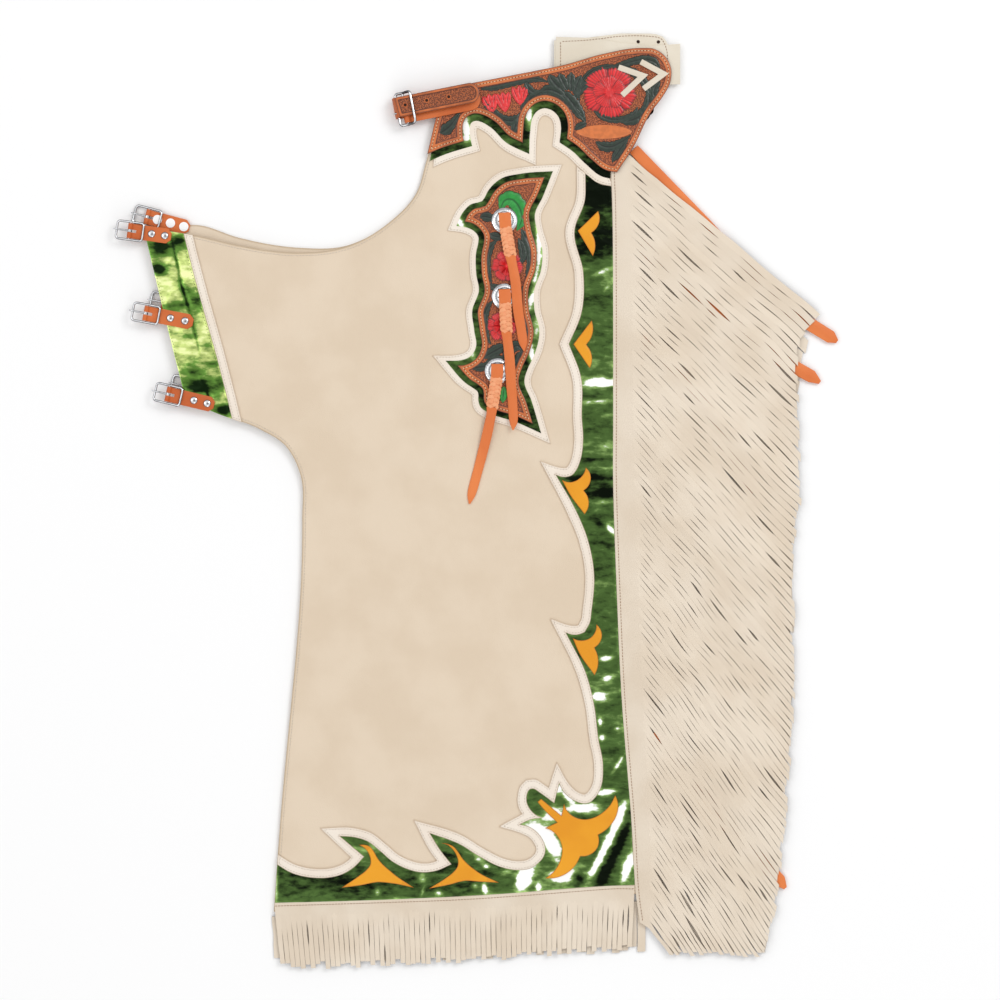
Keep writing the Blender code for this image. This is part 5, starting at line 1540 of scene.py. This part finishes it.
def fringe(node, seam, rows, count, low, chance, closed=16.0, wide=1.0, ragged=4.0, step=5.0, drift=2.6):
    """A strip cut into strands that lie edge to edge and part in slits, each tip at its own length."""
    heap = Heap()
    cuts = [strand_at(rows, number / count) for number in range(count + 1)]
    slits = [partings(chance, (tip - root).length, closed, wide) for root, tip in cuts]

    def spot_on(number, share):
        """A place on the cut between two strands."""
        root, tip = cuts[number]
        way = (tip - root).normalized()
        spot = root + (tip - root) * share
        free = smooth_step((tip - root).length * share / SWAY_RUN)
        sway = drift * noise.noise(Vector((spot.x * 0.017, spot.y * 0.017, low))) * free
        return Vector(beside(*spot, way, sway))

    for number in range(count):
        root, tip = cuts[number]
        length = (tip - root).length
        reach = 1 + ragged * chance.uniform(-1, 0.7) / length
        own, tone_and_side_shade = 60 * chance.random(), chance.uniform(0.94, 1.0)
        sections = math.ceil(length / step)
        places, tones_and_side_shade = [], []
        for k in range(-1, sections + 1):
            share = max(k, -0.5) / sections * reach
            left, right = spot_on(number, share), spot_on(number + 1, share)
            along = length * max(0, share)
            across = (right - left).normalized()
            end = 0.35 * wide * smooth_step((along - length + TIP_RUN) / TIP_RUN)
            left += across * (parted(slits[number], along) / 2 + end)
            right -= across * (parted(slits[number + 1], along) / 2 + end)
            rise = 0.5 + 0.5 * noise.noise(Vector((along * 0.022, own, 7.0)))
            level = low + smooth_step(along / RISE_RUN) * rise
            middle, half = (left + right) / 2, (right - left).length / 2
            for side, up, lit in STRAND_PROFILE:
                spot = middle + across * half * side
                places.append((*spot, level + up * FRINGE_THICKNESS))
                # Painted shade on the strand's sides
                tones_and_side_shade.append(tone_and_side_shade * lit)
        heap.add(*loft(in_rings(places, len(STRAND_PROFILE))), value=tones_and_side_shade)
    strip = []
    seam_line = drawn(seam, 8.0)
    for k, place in enumerate(seam_line):
        root, _ = strand_at(rows, k / (len(seam_line) - 1))
        edge, high = Vector(place[:2]), low + FRINGE_THICKNESS
        near = edge.lerp(root, 0.06)
        strip.append([(*edge, low), (*root, low), (*root, high - 0.03), (*near, high), (*edge, high - 0.4)])
    heap.add(*loft(strip), value=0.95)
    hand_over(heap.piece(f"{node}_strands"), FRINGE_CREAM, "fringe_leather", node)


def make_fringes():
    chance = random.Random(11)
    fringe("side_fringe", SIDE_SEAM, SIDE_STRANDS, 96, FRINGE_REST, chance)
    fringe("hem_fringe", HEM_SEAM, HEM_STRANDS, 70, HEM_REST, chance, 30.0, 0.5, ragged=5.0, drift=1.0)
    under_seam = [(row[0] - UNDER_HEADING, row[1]) for row in UNDER_SIDE_STRANDS]
    fringe("under_side_fringe", under_seam, UNDER_SIDE_STRANDS, 60, 0.0, chance, ragged=8.0, step=15.0)
    hem_seam = [(row[0], row[1] + UNDER_HEADING) for row in UNDER_HEM_STRANDS]
    fringe("under_hem_fringe", hem_seam, UNDER_HEM_STRANDS, 44, 0.0, chance, ragged=7.0, step=15.0)
    seam_on_side = [(Vector((x + STRIP_INSET, y)), 0) for x, y in drawn(SIDE_SEAM, FINE_STEP)]
    seam_on_hem = [(Vector((x, y - STRIP_INSET)), 0) for x, y in drawn(HEM_SEAM, FINE_STEP)]
    side_top, hem_top = FRINGE_REST + FRINGE_THICKNESS, HEM_REST + FRINGE_THICKNESS
    keep = clear_of("edge_foil", *YOKE_LAYERS)
    sew("side_strip_stitches", [seam_on_side], lambda x, y: side_top, THREAD_TAN, "pale_leather", keep)
    sew("hem_strip_stitches", [seam_on_hem], lambda x, y: hem_top, THREAD_TAN, "pale_leather")


# Conchos and braided strings

CONCHOS = ((32, 309.3), (32, 225.9), (24.4, 143.9))
CONCHO_RADIUS = 13.9
STRAND_WIDTH = 5.4
BRAID_SWING = 4.5
BRAID_LIFT = 1.0

# A string's width and thickness at each of its places; it is braided between two of them
STRING_SIZES = (
    (13.0, 1.6),
    (13.5, 1.6),
    (12.5, 1.8),
    (13.0, 1.8),
    (12.0, 1.8),
    (10.5, 1.8),
    (11.0, 1.8),
    (11.0, 1.8),
    (10.5, 1.8),
    (9.5, 1.8),
    (1.6, 1.6),
)
BRAIDED = (2, 4)

# The strings from their loops to their points; columns: x, y, height over the leg's underside
STRINGS = (
    (
        (32.0, 317.5, 9.8),
        (32.6, 307.0, 9.8),
        (33.2, 301.0, 9.4),
        (34.6, 292.0, 8.2),
        (38.4, 270.5, 7.4),
        (40.2, 262.0, 7.0),
        (44.0, 241.0, 9.2),
        (46.6, 212.0, 9.2),
        (50.2, 190.0, 6.6),
        (52.2, 176.0, 6.6),
        (53.4, 166.0, 6.6),
    ),
    (
        (32.0, 233.5, 9.8),
        (32.4, 224.0, 9.8),
        (32.7, 218.0, 9.4),
        (33.0, 208.5, 8.2),
        (34.2, 187.0, 7.4),
        (35.0, 178.5, 7.0),
        (37.4, 158.0, 9.2),
        (39.2, 130.0, 9.2),
        (40.6, 112.0, 6.6),
        (41.8, 90.0, 6.6),
        (41.2, 79.0, 6.6),
    ),
    (
        (24.0, 151.5, 9.8),
        (23.8, 142.0, 9.8),
        (23.4, 136.0, 9.4),
        (21.8, 126.0, 8.2),
        (18.2, 104.0, 7.4),
        (17.2, 95.5, 7.0),
        (13.8, 79.0, 5.6),
        (9.4, 60.5, 3.6),
        (3.0, 36.0, 2.3),
        (-4.0, 10.0, 2.1),
        (-6.6, -2.0, 2.1),
    ),
)
BRAID_STEP = 0.9
BRAID_CROSSINGS = 7
BRAID_THICKNESS = 1.7


def braid(heap, rows):
    """Three flat strands plaited along the rows."""
    spots = drawn(rows, BRAID_STEP)
    ways = headings(spots)
    total = len(spots) - 1
    for strand in range(3):
        rings = []
        for k, ((x, y, level, _, _), way) in enumerate(zip(spots, ways)):
            phase = math.tau * (k / total * BRAID_CROSSINGS / 3 + strand / 3)
            ends = min(1.0, 6 * k / total, 6 * (total - k) / total)
            lift = BRAID_LIFT * (1 + math.sin(2 * phase)) * ends
            slope = BRAID_SWING * math.cos(phase) * math.tau * BRAID_CROSSINGS / 3 / (total * BRAID_STEP)
            lean = way.copy()
            lean.rotate(Matrix.Rotation(math.atan(slope), 2))
            middle = beside(x, y, way, BRAID_SWING * math.sin(phase))
            low = leg_height(x, y) + level + lift
            rings.append(strap_ring(*middle, lean, STRAND_WIDTH, low, BRAID_THICKNESS))
        heap.add(*loft(rings), value=0.55 + 0.2 * strand)


def engraved(radius, angle):
    """Radial flutes cut into a concho's rim, and a rope ring inside them."""
    fluted = smooth_step((radius - 9.4) / 0.8) * smooth_step((12.9 - radius) / 0.5)
    return 0.16 * math.cos(28 * angle) * fluted + 0.1 * math.cos(40 * angle) * band(radius, 8.2, 0.5)


# A concho from under its middle, out round its edge and in over its face; columns: radius, height
CONCHO_PROFILE = (
    (0.01, 0.0),
    (CONCHO_RADIUS, 0.0),
    (CONCHO_RADIUS + 0.15, 0.5),
    (13.1, 1.1),
    (12.7, 0.95),
    (12.4, 1.25),
    (11.4, 1.5),
    (10.2, 1.85),
    (9.4, 1.9),
    (8.9, 1.75),
    (8.2, 2.15),
    (7.5, 2.0),
    (7.0, 2.35),
    (5.0, 2.75),
    (2.5, 2.95),
    (0.01, 3.0),
)

# The two slots that the string passes: height over the concho's underside, shift, half their gap and length
SLOT_HEIGHT = 2.45
SLOT_SHIFT = 3.2
SLOT_APART = 4.4
SLOT_HALF = 7.4
SLOT_RADIUS = 0.75


def make_conchos():
    for number, (x, y) in enumerate(CONCHOS, 1):
        low = leg_height(x, y) + CONCHO_LOW + 0.15
        piece = piece_from(f"concho_{number}_disc", *lathe(CONCHO_PROFILE, x, y, low, 84, engraved))
        outward(piece)
        hand_over(piece, CHROME, "chrome", f"concho_{number}", angle=50)
        # The slots are dark bars of painted shade
        heap = Heap()
        for side in (-1, 1):
            slot_y = y + SLOT_SHIFT + side * SLOT_APART
            ends = [Vector((x + end * SLOT_HALF, slot_y, low + SLOT_HEIGHT)) for end in (-1, 1)]
            heap.add(*wire(ends, SLOT_RADIUS, 8))
        hand_over(heap.piece(f"concho_{number}_slots"), PAINTED_HOLE_SHADE, "chrome")


def make_strings():
    first, last = BRAIDED
    for number, places in enumerate(STRINGS, 1):
        rows = [(*place, *size) for place, size in zip(places, STRING_SIZES)]
        heap = Heap("rim")
        heap.add(*strap_along(rows[: first + 1]), value=FAR_INSIDE)
        braid(heap, rows[first : last + 1])
        heap.add(*strap_along(rows[last:]), value=FAR_INSIDE)
        piece = heap.piece(f"string_{number}_braid")
        hand_over(piece, STRING_TAN, "tan_leather", f"string_{number}", angle=50)


# Straps, billets, belt and laces keep the solids' forms, with softened edges


def softened(node, material, slot, width=0.35):
    """A copy of a solid with its edges rounded over."""
    data = NODES[node].data.copy()
    piece = bpy.data.objects.new(f"{node}_soft", data)
    bpy.context.scene.collection.objects.link(piece)
    data.transform(TO_TABLE)
    mesh = bmesh.new()
    mesh.from_mesh(data)
    bmesh.ops.remove_doubles(mesh, verts=mesh.verts, dist=0.02)
    bmesh.ops.dissolve_limit(mesh, angle_limit=math.radians(1), verts=mesh.verts, edges=mesh.edges)
    mesh.to_mesh(data)
    mesh.free()
    put_on(piece, "BEVEL", width=width, segments=2, limit_method="ANGLE", angle_limit=math.radians(50))
    data.attributes.new("rim", "FLOAT", "POINT").data.foreach_set("value", [FAR_INSIDE] * len(data.vertices))
    return hand_over(piece, material, slot, node, angle=35)


# Where each cuff buckle's bar lies, by leg and number; columns: x, y, turn in degrees
BUCKLES = {
    ("cuff", 1): (*FIRST_BAR, -8.0),
    ("cuff", 2): (-361.8, 207.1, -11.0),
    ("cuff", 3): (-337.3, 118.3, -13.4),
    ("under", 1): (-361.1, 313.7, -15.0),
    ("under", 2): (-342.5, 219.5, -11.0),
    ("under", 3): (-319.8, 127.1, -13.4),
}
BUCKLE_TILT = -6.2
BAR_HEIGHT = {"cuff": 10.6, "under": 3.1}
STRAP_TOP = 0.2

# The front buckle's bar: x, y, height, turn in degrees
FRONT = (-76.3, 428.1, 10.6, 11.2)

# Buckle frames: length, width, radius of the wire and of the bar, rise of the far half, shift sideways
CUFF_FRAME = (32.0, 22.0, 1.2, 1.0, 0.0, 0.0)
FRONT_FRAME = (20.0, 38.0, 1.5, 1.3, 7.6, 3.5)
CORNER_RADIUS = 3.2

# Prongs: radius of the bar, half thickness, length, height over the far rail
CUFF_PRONG = (1.0, 0.85, 18.6, 2.35)
FRONT_PRONG = (1.3, 0.9, 13.4, 2.7)

# Rivets on the cuff straps; columns: leg, number, distances from the bar, radius, rise, finish
RIVETS = (
    ("cuff", 1, (24.0, 38.7), 4.1, 1.5, DOME),
    ("cuff", 2, (27.4, 43.7), 4.1, 1.5, DOME),
    ("cuff", 3, (29.0, 44.0), 4.1, 1.5, DOME),
    ("under", 1, (11.5, 26.4, 41.6), 5.1, 0.6, RIVET_WHITE),
    ("under", 2, (26.0, 41.0), 4.1, 1.5, DOME),
    ("under", 3, (26.0, 41.0), 4.1, 1.5, DOME),
)

# A rivet's head; columns: share of its radius, share of its rise
RIVET_HEAD = ((0.86, 0.7), (0.5, 1.0))


def at_buckle(piece, x, y, z, turn, tilt=0.0):
    """Put a piece at a buckle's bar, turned to its strap's direction and tilted about the bar."""
    turned = Matrix.Rotation(math.radians(turn), 4, "Z")
    tilted = Matrix.Rotation(math.radians(tilt), 4, "Y")
    piece.matrix_world = Matrix.Translation((x, y, z)) @ turned @ tilted


def buckle_frame(name, length, width, thick, bar_radius, rise, shift):
    """A smooth wire frame with a middle bar; its far half may rise."""
    half_long, half_wide = length / 2 - thick, width / 2 - thick
    path = []
    for sign_u, sign_v, start in ((1, 1, 0), (-1, 1, 90), (-1, -1, 180), (1, -1, 270)):
        inset_long, inset_wide = half_long - CORNER_RADIUS, half_wide - CORNER_RADIUS
        middle = Vector((sign_u * inset_long, sign_v * inset_wide, 0))
        for step in range(0, 91, 15):
            angle = math.radians(start + step)
            path.append(middle + Vector((math.cos(angle), math.sin(angle), 0)) * CORNER_RADIUS)
        if sign_v == sign_u:
            path.append(Vector((0, sign_v * half_wide, 0)))
    for spot in path:
        spot.z = rise * max(0.0, spot.x) / half_long
        spot.y += shift
    heap = Heap()
    heap.add(*wire(path, thick, closed=True))
    ends = [Vector((0, shift - half_wide, 0)), Vector((0, shift + half_wide, 0))]
    heap.add(*wire(ends, bar_radius))
    return heap.piece(name)


def buckle_prong(name, bar_radius, thick, length, over_rail):
    """A tongue rolled round the bar and tapering to its point over the rail."""
    inner, outer = bar_radius + 0.35, bar_radius + 1.45
    section = ((inner, 1.2), (outer, 1.2), (outer + 0.05, 0.0), (outer, -1.2), (inner, -1.2))
    rings = []
    for cos, sin in around(24):
        rings.append([(radius * cos, side, radius * sin) for radius, side in section])
    heap = Heap()
    heap.add(*loft(rings, closed=True))
    start = Vector((-0.62, 0, 0.78)) * (outer - thick * 0.3)
    middle = Vector((-length * 0.7, 0, over_rail))
    bent = start.lerp(middle, 0.5) + Vector((0, 0, 0.2))
    path = [start, bent, middle, Vector((-length, 0, over_rail - 0.3))]
    heap.add(*wire(path, [thick * 1.1, thick * 1.05, thick, thick * 0.6], 10))
    return heap.piece(name)


def make_rivets():
    for leg, number, distances, radius, rise, finish in RIVETS:
        x, y, turn = BUCKLES[leg, number]
        cos, sin = math.cos(math.radians(turn)), math.sin(math.radians(turn))
        profile = [(radius, -0.1), (radius, 0.35)]
        profile += [(radius * part, rise * up) for part, up in RIVET_HEAD]
        profile.append((0.01, rise * 1.08))
        heap = Heap("crest")
        for along in distances:
            head = lathe(profile, x + along * cos, y + along * sin, BAR_HEIGHT[leg] + STRAP_TOP, 24)
            heap.add(*head, value=1.0)
        hand_over(heap.piece(f"{leg}_rivets_{number}"), finish, "chrome", angle=50)


def make_buckles():
    for (leg, number), (x, y, turn) in BUCKLES.items():
        bar = (x, y, BAR_HEIGHT[leg], turn, BUCKLE_TILT)
        piece = buckle_frame(f"{leg}_frame_{number}", *CUFF_FRAME)
        at_buckle(piece, *bar)
        hand_over(piece, CHROME, "chrome", f"{leg}_buckle_{number}")
        piece = buckle_prong(f"{leg}_tongue_wire_{number}", *CUFF_PRONG)
        at_buckle(piece, *bar)
        hand_over(piece, CHROME, "chrome", f"{leg}_prong_{number}", body=f"{leg}_tongue_{number}")
        softened(f"{leg}_strap_{number}", TAN_STRAP, "tan_leather")
    piece = buckle_frame("front_frame", *FRONT_FRAME)
    at_buckle(piece, *FRONT)
    hand_over(piece, CHROME, "chrome", "front_buckle")
    piece = buckle_prong("front_tongue_wire", *FRONT_PRONG)
    at_buckle(piece, *FRONT)
    hand_over(piece, CHROME, "chrome", "front_prong")
    make_rivets()


# The height of the front billet's upper face, and the holes punched in it and in the belt, as x, y
BILLET_TOP = 16.5
BILLET_HOLES = ((-76.9, 435.0), (-53.4, 440.0), (-29.2, 443.9))
BILLET_HOLE_RADIUS = 1.7
BELT_HOLES = ((179.0, 506.3), (201.2, 506.1))
BELT_HOLE_RADIUS = 1.9
BELT_INSET = 3.0

# The pressed rim of a hole; columns: how far outside the hole, height
HOLE_RIM = ((1.1, -0.3), (1.0, 0.02), (0.6, 0.16), (0.1, 0.12), (0, -0.3))


def solid_top(node):
    """The height of a solid's upper surface at a place."""
    data = NODES[node].data
    places = [TO_TABLE @ vertex.co for vertex in data.vertices]
    tree = BVHTree.FromPolygons(places, [tuple(face.vertices) for face in data.polygons])

    def top(x, y):
        spot = tree.ray_cast(Vector((x, y, 60)), Vector((0, 0, -1)))[0]
        return spot.z if spot else 0.0

    return top


def punched(name, spots, level, radius, finish, slot):
    """Holes with a pressed rim round each; each hole is a dark disc of painted shade."""
    rims, holes = Heap("rim"), Heap("rim")
    ring = [(radius + out, up) for out, up in HOLE_RIM]
    for x, y in spots:
        low = level(x, y)
        rims.add(*lathe(ring, x, y, low, 20), value=FAR_INSIDE)
        holes.add(*lathe(((radius, -0.3), (radius, 0.05)), x, y, low, 20), value=FAR_INSIDE)
    hand_over(rims.piece(f"{name}_rims"), finish, slot)
    hand_over(holes.piece(f"{name}_holes"), PAINTED_HOLE_SHADE, slot)


def billet_top(x, y, rim):
    inside = smooth_step((rim - BILLET_BORDER + 0.4) / 1.0)
    return BILLET_TOP + 0.45 - 0.25 * inside - rounded_edge(rim, 1.0, 0.35)


def make_billet_face():
    """The billet's upper face: a smooth border round a stippled ground, with its holes."""
    cut = Cut(held_straight(outline_of("front_billet", BILLET_TOP)), 1.2)
    piece = sheet("front_billet_face", cut, 1.4, billet_top, 0.4)
    slot = "tooled_leather"
    hand_over(piece, BILLET_TOOLED, slot)
    low = BILLET_TOP + 0.2
    punched("front_billet", BILLET_HOLES, lambda x, y: low, BILLET_HOLE_RADIUS, BILLET_TAN, slot)


def make_straps():
    for number in range(1, 5):
        softened(f"leg_billet_{number}", STRING_TAN, "tan_leather")
    softened("front_chape", TAN_STRAP, "tan_leather")
    make_billet_face()
    softened("front_billet", BILLET_TAN, "tooled_leather")
    belt_top = solid_top("rear_belt")
    edge = Cut(outline_of("rear_belt"), 2.0).inside_line(BELT_INSET)
    sew("rear_belt_stitches", edge, belt_top, THREAD_TAN, "cream_leather", keep=clear_of("yoke"))
    punched("rear_belt", BELT_HOLES, belt_top, BELT_HOLE_RADIUS, BELT_CREAM, "cream_leather")
    softened("rear_belt", BELT_CREAM, "cream_leather")
    for number in (1, 2):
        softened(f"lace_{number}", BELT_CREAM, "pale_leather", 0.6)


make_flat_pieces()
make_carving()
make_sewing()
make_fringes()
make_conchos()
make_strings()
make_buckles()
make_straps()
declare_sheets()
